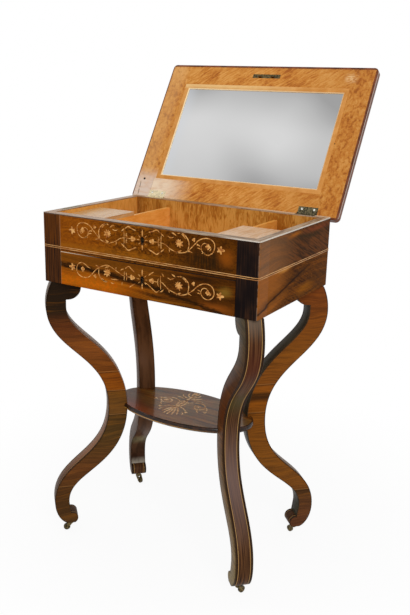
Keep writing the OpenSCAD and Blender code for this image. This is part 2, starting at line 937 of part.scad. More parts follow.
module leg(sx, sy) {
    color("#4a2412") table() at_corner(sx, sy) {
        difference() {
            rotate([90, 0, 0]) linear_extrude(leg_t, center = true) leg_outline();
            translate([-castor_in, 0, castor_h - 1]) cylinder(r = stem_head_r + fit, h = stem_head_h + 2);
            translate([-waist_face - 1, 0, waist_z]) rotate([0, 90, 0]) {
                cylinder(r = dowel_r + dowel_gap, h = dowel_l / 2 + 1 + fit);
            }
        }
        translate([-tenon_in, 0, case_z - 1]) cylinder(r = tenon_r, h = tenon_l + 1);
    }
}

module leg_front_left() {
    leg(-1, -1);
}

module leg_front_right() {
    leg(1, -1);
}

module leg_back_left() {
    leg(-1, 1);
}

module leg_back_right() {
    leg(1, 1);
}

// The notches where the four legs let into the shelf's rim
module leg_notches() {
    half = leg_t / 2 + dowel_gap;
    corners() block(-waist_face - dowel_gap, 0, -half, half, shelf_z - shelf_t - 1, shelf_z + 1);
}

// An oval with the given half axes
module oval(a, b) {
    polygon([for (i = [0:oval_steps - 1]) let (t = 360 * i / oval_steps) [a * cos(t), b * sin(t)]]);
}

module shelf() {
    color("#5a2f18") table() difference() {
        translate([0, 0, shelf_z - shelf_t]) {
            linear_extrude(shelf_t) oval(shelf_a - shelf_edge_w, shelf_b - shelf_edge_w);
        }
        leg_notches();
        corners() translate([-waist_face - dowel_l / 2 - fit, 0, waist_z]) rotate([0, 90, 0]) {
            cylinder(r = dowel_r + dowel_gap, h = dowel_l / 2 + 1);
        }
    }
}

// The shelf moulding's section at one place round the oval: a half-round nose with a flat back
function nose(i) = let (a = 180 * i / nose_steps - 90, out = shelf_edge_w * cos(a))
    [out, shelf_t / 2 * (1 + sin(a))];

module shelf_moulding() {
    n = nose_steps + 1;
    a = shelf_a - shelf_edge_w;
    b = shelf_b - shelf_edge_w;
    points = [for (k = [0:oval_steps - 1], i = [0:nose_steps])
        let (t = 360 * k / oval_steps, out = nose(i))
        [(a + out[0]) * cos(t), (b + out[0]) * sin(t), shelf_z - shelf_t + out[1]]];
    faces = [for (k = [0:oval_steps - 1], i = [0:nose_steps])
        let (m = (k + 1) % oval_steps, j = (i + 1) % n)
        [k * n + i, k * n + j, m * n + j, m * n + i]];
    color("#2a1810") table() difference() {
        polyhedron(points = points, faces = faces, convexity = 6);
        leg_notches();
    }
}

module shelf_dowels() {
    color("burlywood") table() corners() {
        translate([-waist_face - dowel_l / 2, 0, waist_z]) rotate([0, 90, 0]) cylinder(r = dowel_r, h = dowel_l);
    }
}

module castor_plates() {
    color("darkgoldenrod") table() corners() translate([-castor_in, 0, 0]) difference() {
        union() {
            translate([0, 0, castor_h - plate_t]) cylinder(r = castor_plate_r, h = plate_t);
            translate([0, 0, crown_top + fit]) cylinder(r = boss_r, h = boss_t);
        }
        cylinder(r = stem_r + pin_fit, h = castor_h + 1);
    }
}

// A castor's own frame on the floor under one foot, turned to the way it trails
module at_castor(sx, sy, turn) {
    in = castor_in * sin(45);
    table() translate([sx * (half_w - in), sy * (half_d - in), 0]) rotate([0, 0, turn]) children();
}

// One cheek of the fork, seen from its side
module cheek_outline() {
    polygon([[-crown_r / 2, crown_top - crown_t], [-crown_r / 2, crown_top], [crown_r, crown_top],
             [trail + hub_r, wheel_r], [trail - hub_r, wheel_r]]);
    translate([trail, wheel_r]) circle(hub_r);
}

module castor_fork(sx, sy, turn) {
    half = wheel_w / 2 + fit;
    color("goldenrod") at_castor(sx, sy, turn) {
        translate([0, 0, crown_top - crown_t]) cylinder(r = crown_r, h = crown_t);
        translate([0, 0, crown_top - 1]) cylinder(r = stem_r, h = stem_head_z - crown_top + 2);
        translate([0, 0, stem_head_z]) cylinder(r = stem_head_r, h = stem_head_h - fit);
        for (y = [half + cheek_t, -half]) {
            translate([0, y, 0]) rotate([90, 0, 0]) linear_extrude(cheek_t) cheek_outline();
        }
        block(-crown_r / 2, crown_r, -half - cheek_t, half + cheek_t, crown_top - crown_t, crown_top);
        translate([trail, half + cheek_t, wheel_r]) rotate([90, 0, 0]) {
            cylinder(r = axle_r, h = 2 * (half + cheek_t));
        }
    }
}

module castor_fork_front_left() {
    castor_fork(-1, -1, turn_fl);
}

module castor_fork_front_right() {
    castor_fork(1, -1, turn_fr);
}

module castor_fork_back_left() {
    castor_fork(-1, 1, turn_bl);
}

module castor_fork_back_right() {
    castor_fork(1, 1, turn_br);
}

// A wheel with rounded edges that turns on its axle
module castor_wheel(sx, sy, turn) {
    r = wheel_round;
    color("#3a2a1a") at_castor(sx, sy, turn) translate([trail, 0, wheel_r]) rotate([90, 0, 0]) {
        rotate_extrude() {
            translate([axle_r + pin_fit, -wheel_w / 2]) square([wheel_r - r - axle_r - pin_fit, wheel_w]);
            translate([wheel_r - r, r - wheel_w / 2]) square([r, wheel_w - 2 * r]);
            for (y = [-1, 1]) translate([wheel_r - r, y * (wheel_w / 2 - r)]) circle(r);
        }
    }
}

module castor_wheel_front_left() {
    castor_wheel(-1, -1, turn_fl);
}

module castor_wheel_front_right() {
    castor_wheel(1, -1, turn_fr);
}

module castor_wheel_back_left() {
    castor_wheel(-1, 1, turn_bl);
}

module castor_wheel_back_right() {
    castor_wheel(1, 1, turn_br);
}

case_side_left();
case_side_right();
case_back();
case_bottom();
front_rail();
front_post_left();
front_post_right();
corner_blocks();
rim_band();
tray_floor();
tray_lining();
partition_left();
partition_right();
cross_partition_left();
cross_partition_right();
cover_ledges();
cover_left();
cover_right();
drawer_guides();
drawer_stops();
drawer_front();
drawer_side_left();
drawer_side_right();
drawer_back();
drawer_bottom();
lid_board();
lid_moulding();
lid_facing();
mirror_glass();
mirror_backing();
mirror_fillet();
hinge_case_leaves();
hinge_lid_leaves();
hinge_pins();
lid_lock();
lid_lock_bolt();
lid_strike();
drawer_lock();
drawer_lock_bolt();
upper_escutcheon();
drawer_escutcheon();
stay_plate();
leg_front_left();
leg_front_right();
leg_back_left();
leg_back_right();
shelf();
shelf_moulding();
shelf_dowels();
castor_plates();
castor_fork_front_left();
castor_fork_front_right();
castor_fork_back_left();
castor_fork_back_right();
castor_wheel_front_left();
castor_wheel_front_right();
castor_wheel_back_left();
castor_wheel_back_right();
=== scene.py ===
"""Writing and dressing table: veneers, marquetry, polish and brass around the fixed frame.

Lengths are in metres, and in millimetres on the inlaid faces. Colours are written as display
values, 0 to 255, and are made linear where they meet a shader. A finish of the lid works in the
lid's own frame: x across it, reach from the hinge line, which falls to the front edge, and depth
from its inner face to its outside."""
import math
import bmesh
import bpy
import numpy as np
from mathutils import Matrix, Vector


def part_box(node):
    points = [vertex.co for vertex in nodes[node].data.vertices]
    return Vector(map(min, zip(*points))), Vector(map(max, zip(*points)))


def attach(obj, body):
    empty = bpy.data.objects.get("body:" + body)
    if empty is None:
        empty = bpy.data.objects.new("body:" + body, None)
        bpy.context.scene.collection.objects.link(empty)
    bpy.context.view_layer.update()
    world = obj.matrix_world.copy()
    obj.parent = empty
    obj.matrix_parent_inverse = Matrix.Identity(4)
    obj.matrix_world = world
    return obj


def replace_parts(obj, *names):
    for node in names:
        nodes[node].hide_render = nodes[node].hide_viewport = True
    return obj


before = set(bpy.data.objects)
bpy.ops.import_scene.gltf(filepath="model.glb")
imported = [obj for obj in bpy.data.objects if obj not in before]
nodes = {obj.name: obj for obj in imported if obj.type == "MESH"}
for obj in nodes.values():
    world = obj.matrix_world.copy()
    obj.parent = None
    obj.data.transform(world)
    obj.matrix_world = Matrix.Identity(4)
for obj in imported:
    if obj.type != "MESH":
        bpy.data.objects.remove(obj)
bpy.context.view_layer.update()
MM = 0.001
TURN = 2 * math.pi

# Places taken from the frame
_, FRONT, RAIL_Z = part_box("front_rail")[0]
HALF_W, BACK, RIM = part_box("rim_band")[1]
DRAWER_END, _, DRAWER_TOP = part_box("drawer_front")[1]
CASE_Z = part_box("case_back")[0].z
MIDDLE = (FRONT + BACK) / 2
SHELF_LOW, SHELF_TOP = (corner.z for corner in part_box("shelf"))
LID_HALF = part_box("lid_moulding")[1].x
HINGE_Y = sum(corner.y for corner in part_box("hinge_pins")) / 2

# Sizes that the frame's boxes don't give
CORNER_R = 6 * MM
RIM_W = 17 * MM
LINING_X = 231.5 * MM
LID_OPEN = math.radians(121)
LID_BACK, LID_REACH = 6 * MM, 351.8 * MM
LID_GAP = 0.3 * MM
STILE_X = 214 * MM
KEY_RAIL = RIM - 28 * MM
KEY_DRAWER = DRAWER_TOP - 29 * MM
STRING_LOW, STRING_HIGH, STRING_T = RAIL_Z + 5.4 * MM, RAIL_Z + 8.9 * MM, 1.3 * MM
INLAY_PROUD, INLAY_SUNK = 0.12 * MM, 0.35 * MM
COVER_FLECKS = (0.006, 0.06, 0.01)

# Screws of the hinges, in millimetres: places on the leaves, radii, and how far a head's edge
# stands proud, its middle rises above that, its rim goes down, and the half width of its slot
# as a share of the radius
HINGE_X, SCREW_X, SCREW_Y = 192.5, 14, 10.5
LID_HEAD_R, RIM_HEAD_R = 2.6, 2.4
HEAD_EDGE, HEAD_DOME, HEAD_SUNK, SLOT_SHARE = 0.02, 0.11, 0.3, 0.16

# The camera of the photograph's view, and the lamps: name, place, size, power and whether the
# lamp shows in gloss
CAMERA_PLACE, CAMERA_LENS, CAMERA_SENSOR = (0.8388, -1.4457, 1.0051), 45.57, 36
CAMERA_YAW, CAMERA_PITCH, CAMERA_ROLL = (math.radians(a) for a in (30.38, 16.28, 1.48))
LAMPS = (("key", (2.0, -2.2, 2.1), 1.8, 54.0, True), ("top", (-0.4, -0.2, 3.2), 2.2, 17.0, False))
LAMPS_AIM = (0, -0.05, 0.6)
ROOM_LIGHT = 0.47
FLOOR_HALF = 12.0

# Tones of the woods, as they look in plain light
ROSE_DARK, ROSE_DEEP, ROSE_MID = (34, 18, 7), (62, 33, 9), (104, 55, 11)
ROSE_WARM, ROSE_GOLD = (138, 74, 13), (166, 98, 20)
CARCASS_PALE, CARCASS_DEEP = (176, 138, 92), (136, 98, 58)


class Value:
    """A number, colour or vector at a shader socket. Arithmetic on it adds Math nodes."""

    def __init__(self, finish, socket):
        self.finish = finish
        self.socket = socket

    def __add__(self, other):
        return self.finish.maths("ADD", self, other)

    def __sub__(self, other):
        return self.finish.maths("SUBTRACT", self, other)

    def __rsub__(self, other):
        return self.finish.maths("SUBTRACT", other, self)

    def __mul__(self, other):
        return self.finish.maths("MULTIPLY", self, other)

    def __truediv__(self, other):
        return self.finish.maths("DIVIDE", self, other)

    def __abs__(self):
        return self.finish.maths("ABSOLUTE", self)

    __radd__ = __add__
    __rmul__ = __mul__


def linear(tone):
    """A colour as a shader takes it: a link as it is, and display values made linear."""
    if isinstance(tone, Value):
        return tone
    c = np.array(tone) / 255
    low, high = c / 12.92, ((c + 0.055) / 1.055) ** 2.4
    return (*np.where(c <= 0.04045, low, high).tolist(), 1.0)


class Shading:
    """The nodes of one tree, made from numbers, colours and links."""

    def __init__(self, tree):
        self.tree = tree

    def add(self, kind, settings, sockets, out=0):
        """A node of a type, with its settings made before its sockets are filled or linked."""
        node = self.tree.nodes.new("ShaderNode" + kind)
        for key, value in settings.items():
            if key == "stops":
                self.set_stops(node.color_ramp, value)
            else:
                setattr(node, key, value)
        for key, value in sockets.items():
            if isinstance(value, Value):
                self.tree.links.new(value.socket, node.inputs[key])
            else:
                node.inputs[key].default_value = value
        return Value(self, node.outputs[out])

    def set_stops(self, ramp, stops):
        """Places a colour ramp's stops, each a position and a colour."""
        while len(ramp.elements) < len(stops):
            ramp.elements.new(1.0)
        for element, (position, tone) in zip(ramp.elements, stops):
            element.position = position
            element.color = linear(tone)

    def outputs(self, value):
        """All outputs of the node that a value comes from."""
        return [Value(self, out) for out in value.socket.node.outputs]

    def maths(self, operation, a, b=0.0):
        """A Math node on one or two numbers."""
        return self.add("Math", {"operation": operation}, {0: a, 1: b})

    def seen(self):
        """1 for what is seen straight, in metal or through glass, and 0 for what is lit."""
        rays = self.outputs(self.add("LightPath", {}, {}))
        named = {ray.socket.name: ray for ray in rays}
        others = self.maths("MAXIMUM", named["Is Glossy Ray"], named["Is Transmission Ray"])
        return self.maths("MAXIMUM", named["Is Camera Ray"], others)


class Finish(Shading):
    """One procedural material round a Principled shader, with its constants set first."""

    def __init__(self, name, shine, **constants):
        self.material = bpy.data.materials.new(name)
        self.material.use_nodes = True
        super().__init__(self.material.node_tree)
        self.shader = self.tree.nodes["Principled BSDF"]
        self.shader.inputs["Specular IOR Level"].default_value = shine
        for socket, value in constants.items():
            self.shader.inputs[socket.replace("_", " ")].default_value = value

    def vector(self, x, y, z):
        """A vector from its three numbers."""
        return self.add("CombineXYZ", {}, {0: x, 1: y, 2: z})

    def parts(self, vector):
        """The three numbers of a vector."""
        return self.outputs(self.add("SeparateXYZ", {}, {0: vector}))

    def place(self):
        """The point on the object at rest."""
        return self.add("TexCoord", {}, {}, "Object")

    def turned(self, vector, centre, angles):
        """The vector in a frame that stands at centre and is turned by angles."""
        return self.add("Mapping", {"vector_type": "TEXTURE"},
                        {"Vector": vector, "Location": centre, "Rotation": angles})

    def noise(self, vector, size, detail=2.0, rough=0.5, warp=0.0):
        """Soft noise whose lumps have the given sizes along x, y and z, or one size."""
        sizes = size if isinstance(size, tuple) else (size,) * 3
        scaled = self.add("VectorMath", {"operation": "MULTIPLY"},
                          {0: vector, 1: tuple(1 / s for s in sizes)})
        return self.add("TexNoise", {}, {"Vector": scaled, "Scale": 1.0, "Detail": detail,
                                         "Roughness": rough, "Distortion": warp})

    def step(self, value, low, high):
        """Rises smoothly from 0 at low to 1 at high, and falls where low is the larger."""
        if low > high:
            return 1 - self.step(value, high, low)
        return self.add("MapRange", {"interpolation_type": "SMOOTHSTEP"},
                        {0: value, 1: low, 2: high})

    def near(self, value, centre, reach):
        """1 where the value is at centre, falling to 0 at reach on either side."""
        return self.step(abs(value - centre), reach, 0.0)

    def oval(self, across, along):
        """How far a point is from an oval's middle, squared, as a share of its radii."""
        return across * across + along * along

    def blend(self, amount, a, b):
        """Colour a carried towards colour b by an amount from 0 to 1."""
        return self.add("Mix", {"data_type": "RGBA"}, {0: amount, 6: linear(a), 7: linear(b)}, 2)

    def layers(self, colour, *coats):
        """A colour under coats that are laid in turn, each an amount and its colour."""
        for amount, tone in coats:
            colour = self.blend(amount, colour, tone)
        return colour

    def ramp(self, value, *stops):
        """Colours by position along a value, each stop a position and its colour."""
        return self.add("ValToRGB", {"stops": stops}, {0: value})

    def fade(self, value, low, high, first, last):
        """The first colour where the value is low, turning to the last where it is high."""
        return self.ramp(self.step(value, low, high), (0.0, first), (1.0, last))

    def dress(self, colour, roughness):
        """Feeds the shader."""
        self.tree.links.new(colour.socket, self.shader.inputs["Base Color"])
        self.tree.links.new(roughness.socket, self.shader.inputs["Roughness"])
        return self.material

    def polish(self, colour, point, rough, spread):
        """Feeds the shader with an old hand polish: a roughness with soft duller patches."""
        return self.dress(colour, self.noise(point, 0.05, 3.0) * spread + (rough - spread / 2))


def on_table(name, shine=0.5, **constants):
    """A finish, and the point on the table whole and as its x, y and z."""
    f = Finish(name, shine, **constants)
    place = f.place()
    return f, place, *f.parts(place)


def on_lid(name, shine=0.5, **constants):
    """A finish, and the point in the lid's frame whole and as its x, reach and depth."""
    f = Finish(name, shine, **constants)
    place = f.turned(f.place(), (0.0, HINGE_Y, RIM), (-LID_OPEN, 0.0, 0.0))
    return f, place, *f.parts(place)


def figure(f, run, across, depth, stops, wave=0.02):
    """Rosewood figure. The grain runs along run: broad bands that wander by wave, finer lines
    inside them, short dark streaks, golden flecks and pores."""
    drift = f.noise(f.vector(run, across, depth), (0.16, 0.06, 0.06), 1.0)
    bent = across + (drift - 0.5) * (2 * wave)
    grained = f.vector(run, bent, depth)
    bands = f.noise(grained, (0.20, 0.011, 0.011), 4.0)
    lines = f.noise(grained, (0.07, 0.0016, 0.0016))
    streaks = f.noise(grained, (0.022, 0.0014, 0.0014), 3.0, 0.7)
    flecks = f.noise(grained, (0.007, 0.0024, 0.0024), 2.0, 0.6)
    pores = f.noise(grained, (0.008, 0.0007, 0.0007), 1.0)
    return f.layers(f.ramp(f.step(bands * 0.62 + lines * 0.38, 0.36, 0.64), *stops),
                    (f.step(streaks, 0.50, 0.62) * 0.45, ROSE_DARK),
                    (f.step(flecks, 0.52, 0.66) * 0.25, ROSE_GOLD),
                    (f.step(pores, 0.56, 0.68) * 0.4, ROSE_DARK))


def carcass(f, x, y, z):
    """Plain pale secondary wood with its grain along x."""
    grain = f.noise(f.vector(x, y, z), (0.15, 0.003, 0.003), 3.0)
    return f.fade(grain, 0.35, 0.65, CARCASS_DEEP, CARCASS_PALE)


def front_colour(f, x, y, z):
    """Front veneer, from the rosewood figure up: a mottled ground that darkens to the right,
    a warm left end, an orange glow and an ember low on the drawer, a ragged dark line that
    falls away to both sides with a lighter zone above it, an olive patch, a shadow, a golden
    band, and at the right of the rail a dark cloud of upright strands with a warm patch."""
    sway = (f.noise(f.vector(x, 0.0, z), (0.05, 1.0, 0.02)) - 0.5) * 0.012
    height = z + sway
    upper = f.step(z, RAIL_Z - 0.3 * MM, RAIL_Z)
    lower = 1 - upper
    mottle = f.noise(f.vector(x, y, height), (0.009, 0.02, 0.005), 4.0, 0.7, 0.8)
    mottle = f.step(mottle, 0.40, 0.58)
    ragged = (f.noise(f.vector(x, y, z), (0.012, 0.02, 0.0025), 3.0, 0.6) - 0.5) * 0.014
    line = height + ragged - (x * -0.117 - x * x * 0.333 + (CASE_Z + 0.030))
    strands = f.noise(f.vector(x, y, z), (0.0030, 0.02, 0.06))
    cloud = f.near(x, 0.142, 0.078) * f.near(height, RAIL_Z + 0.026, 0.034) * upper
    glow = f.near(height, CASE_Z + 0.012, 0.030) * f.step(x, 0.03, -0.10) * lower
    ember = f.near(height, CASE_Z + 0.010, 0.014) * f.near(x, 0.165, 0.06) * lower
    olive = f.near(height, CASE_Z + 0.042, 0.014) * f.near(x, 0.182, 0.022) * lower
    shadow = f.near(height, CASE_Z + 0.060, 0.008) * f.near(x, 0.130, 0.045) * lower
    band = f.near(height, RAIL_Z + 0.013, 0.013) * f.step(x, 0.13, 0.0) * upper
    patch = f.near(x, 0.182, 0.026) * f.near(height, RIM - 0.038, 0.024)
    return f.layers(
        figure(f, x, z, y, [(0.0, ROSE_DARK), (0.3, ROSE_DEEP), (0.62, ROSE_MID),
                            (0.86, ROSE_WARM), (1.0, ROSE_GOLD)]),
        (upper * 0.45 + 0.2, f.blend(mottle, (74, 36, 4), (146, 82, 10))),
        (f.step(x, -0.02, 0.12) * 0.68, (62, 31, 5)),
        (f.step(x + sway * 5, -0.02, -0.17) * upper * 0.45, (156, 80, 12)),
        (glow * 0.8, f.blend(mottle * 0.45, (212, 106, 8), (140, 92, 14))),
        (ember * 0.5, (160, 84, 24)),
        (f.step(line, 0.004, 0.012) * lower * f.step(x, 0.10, -0.02) * 0.6, (124, 70, 12)),
        (f.near(line, 0.0, 0.0075) * lower * 0.9, (32, 18, 6)),
        (olive * 0.5, (150, 116, 44)),
        (shadow * 0.7, ROSE_DARK),
        (band * 0.4, (158, 96, 20)),
        (cloud * f.step(strands, 0.25, 0.60), (36, 24, 10)),
        (patch * 0.55, (160, 84, 18)))


def side_colour(f, x, y, z):
    """Side veneer, from the rosewood figure up: above the strings a painted sheen at the front
    over greyer grain behind, flamed below, a glow in front, gold along the bottom, a dark sweep
    that climbs to the back with a softer one beside it, a dull back end, an arch and two flames
    under the rim, and a worn place on the strings."""
    run = y - MIDDLE
    ground = figure(f, y, z, x, [(0.0, ROSE_DARK), (0.3, ROSE_DEEP), (0.7, ROSE_MID),
                                 (1.0, ROSE_WARM)])
    sway = (f.noise(f.vector(0.0, y, z), (1.0, 0.06, 0.02)) - 0.5) * 0.012
    height = z + sway
    upper = f.step(z, STRING_LOW - 0.5 * MM, STRING_LOW)
    lower = 1 - upper
    slant = f.vector(x, y - z * 0.55, z + y * 0.45)
    grain = f.step(f.noise(slant, (0.02, 0.05, 0.0028), 3.0, 0.6), 0.36, 0.62)
    # greyer: a painted sheen at the front above the strings, giving way to dark grain behind
    greyer = f.blend(f.step(run, -0.12, 0.02) * 0.85, f.blend(0.6, ground, (132, 94, 64)),
                     f.blend(grain, (34, 18, 6), (96, 52, 20)))
    glow = f.step(run, 0.0, -0.11) * f.step(height - run * 0.34, 0.60, 0.665) * lower
    gold = f.near(height, CASE_Z + 0.018, 0.016) * f.near(run, 0.045, 0.06) * lower
    sweep = height - (run * 0.215 - run * run * 0.2 + (CASE_Z + 0.049))
    sweep_end = f.step(run, 0.10, 0.0) * lower
    arch = height - (run * -0.05 + (RIM - 0.018))
    flame = f.near(height, RIM - 0.010, 0.008)
    worn = f.near(height, STRING_LOW + 0.001, 0.007) * f.near(run, -0.055, 0.045)
    return f.layers(
        f.blend(upper, ground, greyer),
        (lower * 0.3, f.blend(grain, (76, 38, 6), (136, 76, 16))),
        (glow * 0.6, (162, 96, 40)),
        (gold * 0.7, (142, 84, 12)),
        (f.near(sweep, 0.003, 0.014) * sweep_end * 0.5, (58, 32, 10)),
        (f.near(sweep, 0.0, 0.0042) * sweep_end * 0.9, ROSE_DARK),
        (f.step(run, 0.04, 0.14) * lower * 0.45, (72, 42, 14)),
        (f.near(arch, 0.0, 0.008) * f.near(run, 0.05, 0.11) * upper * 0.8, (52, 38, 20)),
        (flame * f.near(run, -0.015, 0.045) * 0.85, (160, 92, 26)),
        (flame * f.near(run, 0.09, 0.09) * 0.7, (128, 62, 32)),
        (worn * 0.7, (200, 136, 62)))


def front_veneer():
    """Rail and drawer front: veneer on the face, a painted highlight along the drawer's top edge
    that turns to painted shade towards the right, painted shade on its top face in the gap, a
    painted highlight along its left edge, a dark line along the rail's lower edge, painted shade
    round the keyholes, and plain wood behind."""
    f, place, x, y, z = on_table("front_veneer", 0.015)
    # top_line: painted light on the drawer's top edge, a painted highlight at the left that turns to
    # painted shade towards the right; on the top face in the gap under the rail it is painted shade
    top_line = f.step(z, DRAWER_TOP - 1.6 * MM, DRAWER_TOP - 1.1 * MM)
    top_line = top_line * f.step(z, RAIL_Z, RAIL_Z - 0.2 * MM)
    face = f.layers(
        front_colour(f, x, y, z),
        (f.near(z, RAIL_Z + 2.6 * MM, 2.2 * MM) * 0.75, ROSE_DARK),
        (top_line, f.blend(f.step(x, -0.09, -0.20), (36, 26, 22), (214, 190, 164))),
        (f.step(y, FRONT + 0.3 * MM, FRONT + 0.6 * MM) * top_line, (24, 16, 12)),
        # painted highlight along the drawer's left edge
        (f.step(x, -DRAWER_END + 1.5 * MM, -DRAWER_END + 1.0 * MM) * 0.4, (150, 118, 90)))
    # painted shade: a near black oval round each keyhole stands in for the shade inside the hole
    for key in (KEY_RAIL, KEY_DRAWER):
        hole = f.oval(x / (4.2 * MM), (z - key) / (6.6 * MM))
        face = f.blend(f.step(hole, 1.15, 0.8), face, (16, 10, 8))
    behind = f.step(y, FRONT + 1.2 * MM, FRONT + 1.5 * MM)
    return f.polish(f.blend(behind, face, carcass(f, x, y, z)), place, 0.34, 0.12)


def side_veneer():
    """Side boards: veneer outside, plain wood inside, and a dull back edge."""
    f, place, x, y, z = on_table("side_veneer", 0.005)
    inside = f.step(abs(x), HALF_W - 1.2 * MM, HALF_W - 1.5 * MM)
    colour = f.layers(side_colour(f, x, y, z), (inside, carcass(f, y, x, z)),
                      (f.step(y, BACK - 1.5 * MM, BACK - 1.0 * MM) * inside, (74, 44, 24)))
    return f.polish(colour, place, 0.34, 0.14)


def post_veneer():
    """Corner posts: dark upright grain on the front with brown streaks at the left, the side's
    veneer from the corner back, and a painted highlight, broken in patches, along the arris
    between them."""
    f, place, x, y, z = on_table("post_veneer", 0.02)
    grain = f.noise(place, (0.002, 0.004, 0.08))
    cloud = f.noise(place, (0.03, 0.03, 0.05))
    dark = f.ramp(f.step(grain * 0.5 + cloud * 0.5, 0.36, 0.66), (0.0, (20, 14, 14)),
                  (0.6, (36, 24, 19)), (1.0, (60, 36, 22)))
    by_height = f.step(z, RAIL_Z, RAIL_Z + 0.03) * 0.35 + 0.4
    streaked = f.step(grain, 0.30, 0.60) * f.step(x, 0.1, -0.1) * by_height
    side = f.step(abs(x), HALF_W - 2.2 * MM, HALF_W - 0.9 * MM)
    # painted highlight along the rounded arris of the front corner, broken in patches
    pale_highlight = f.near(abs(x), HALF_W - 1.6 * MM, 1.3 * MM) * f.step(y, FRONT + CORNER_R, FRONT)
    pale_highlight = pale_highlight * f.step(f.noise(place, (0.02, 0.02, 0.012)), 0.40, 0.56)
    colour = f.layers(dark, (streaked, (108, 58, 14)), (side, side_colour(f, x, y, z)),
                      (pale_highlight * 0.5, (150, 122, 102)))
    return f.polish(colour, place, 0.36, 0.12)


def back_wood():
    """Case back: stained plain board."""
    f, place, x, y, z = on_table("back_wood", 0.08)
    colour = figure(f, x, z, y, [(0.0, (58, 34, 20)), (0.5, (84, 50, 28)), (1.0, (108, 66, 36))])
    return f.polish(colour, place, 0.5, 0.1)


def carcass_wood():
    """Secondary wood of the pieces that don't show."""
    f, place, x, y, z = on_table("carcass_wood", 0.25)
    return f.polish(carcass(f, x, y, z), place, 0.62, 0.1)


def satinwood(name, flecks, deep, mid, pale, gloss=0.34):
    """Satinwood: a soft cloudy ground with a fleck whose length follows flecks along x, y, z."""
    f, place, *_ = on_table(name, 0.12)
    cloud = f.noise(place, 0.05)
    fleck = f.noise(place, flecks, 3.0, 0.6, 1.2)
    fine = f.noise(place, tuple(s * 0.22 for s in flecks))
    mixed = fleck * 0.55 + cloud * 0.25 + fine * 0.2
    colour = f.ramp(f.step(mixed, 0.36, 0.62), (0.0, deep), (0.45, mid), (1.0, pale))
    return f.polish(colour, place, gloss, 0.1)


def lining_wood():
    """Lining of the tray: upright satinwood figure, plain orange on the left wall, and painted
    shade where the walls meet."""
    f, place, x, *_ = on_table("lining_satinwood", 0.1)
    cloud = f.noise(place, (0.04, 0.04, 0.06))
    fleck = f.noise(place, (0.006, 0.006, 0.026), 3.0, 0.6, 1.2)
    mixed = f.step(fleck * 0.6 + cloud * 0.4, 0.38, 0.60)
    # corner: painted shade where the left wall meets the back wall
    corner = f.step(x, -0.205, 0.3 * MM - LINING_X)
    corner = corner * f.step(x, -LINING_X - 0.3 * MM, 0.1 * MM - LINING_X)
    colour = f.layers(
        f.ramp(mixed, (0.0, (152, 94, 30)), (0.45, (178, 122, 48)), (1.0, (200, 148, 72))),
        (f.step(x, 0.3 * MM - LINING_X, -LINING_X - 0.3 * MM),
         f.blend(mixed, (204, 138, 56), (222, 160, 78))),
        (corner * 0.5, (96, 52, 16)))
    return f.polish(colour, place, 0.34, 0.1)


def rim_wood():
    """Worn rim, with its grain along each member: golden at the left and greyer at the right,
    a painted highlight on the back strip at the right, and a dark line along its outer edge that
    gives way to a painted highlight on the arris towards the right."""
    f, place, x, y, _ = on_table("rim_veneer", 0.12)
    ends = f.step(abs(x), HALF_W - RIM_W - 0.2 * MM, HALF_W - RIM_W + 0.2 * MM)
    lengthwise = f.noise(place, (0.05, 0.005, 0.03), 4.0, 0.6)
    crosswise = f.noise(place, (0.005, 0.05, 0.03), 4.0, 0.6)
    worn = lengthwise + (crosswise - lengthwise) * ends
    # behind: a painted highlight on the back strip, used at the right
    behind = f.step(y, BACK - 15 * MM, BACK - 9 * MM)
    outer = f.step(f.maths("MINIMUM", HALF_W - abs(x), y - FRONT), 2.0 * MM, 1.0 * MM)
    colour = f.layers(
        f.ramp(f.step(worn, 0.32, 0.66), (0.0, (104, 80, 60)), (0.45, (146, 122, 98)),
               (1.0, (178, 158, 134))),
        (f.step(x, 0.02, -0.16) * 0.6, (156, 110, 62)),
        (behind * f.step(x, 0.0, 0.07) * 0.6, (228, 198, 166)),
        (outer * f.step(x, 0.12, 0.0) * 0.8, (60, 38, 26)),
        # painted highlight along the outer arris towards the right
        (outer * f.step(x, 0.15, 0.21) * 0.7, (222, 214, 202)))
    return f.polish(colour, place, 0.3, 0.1)


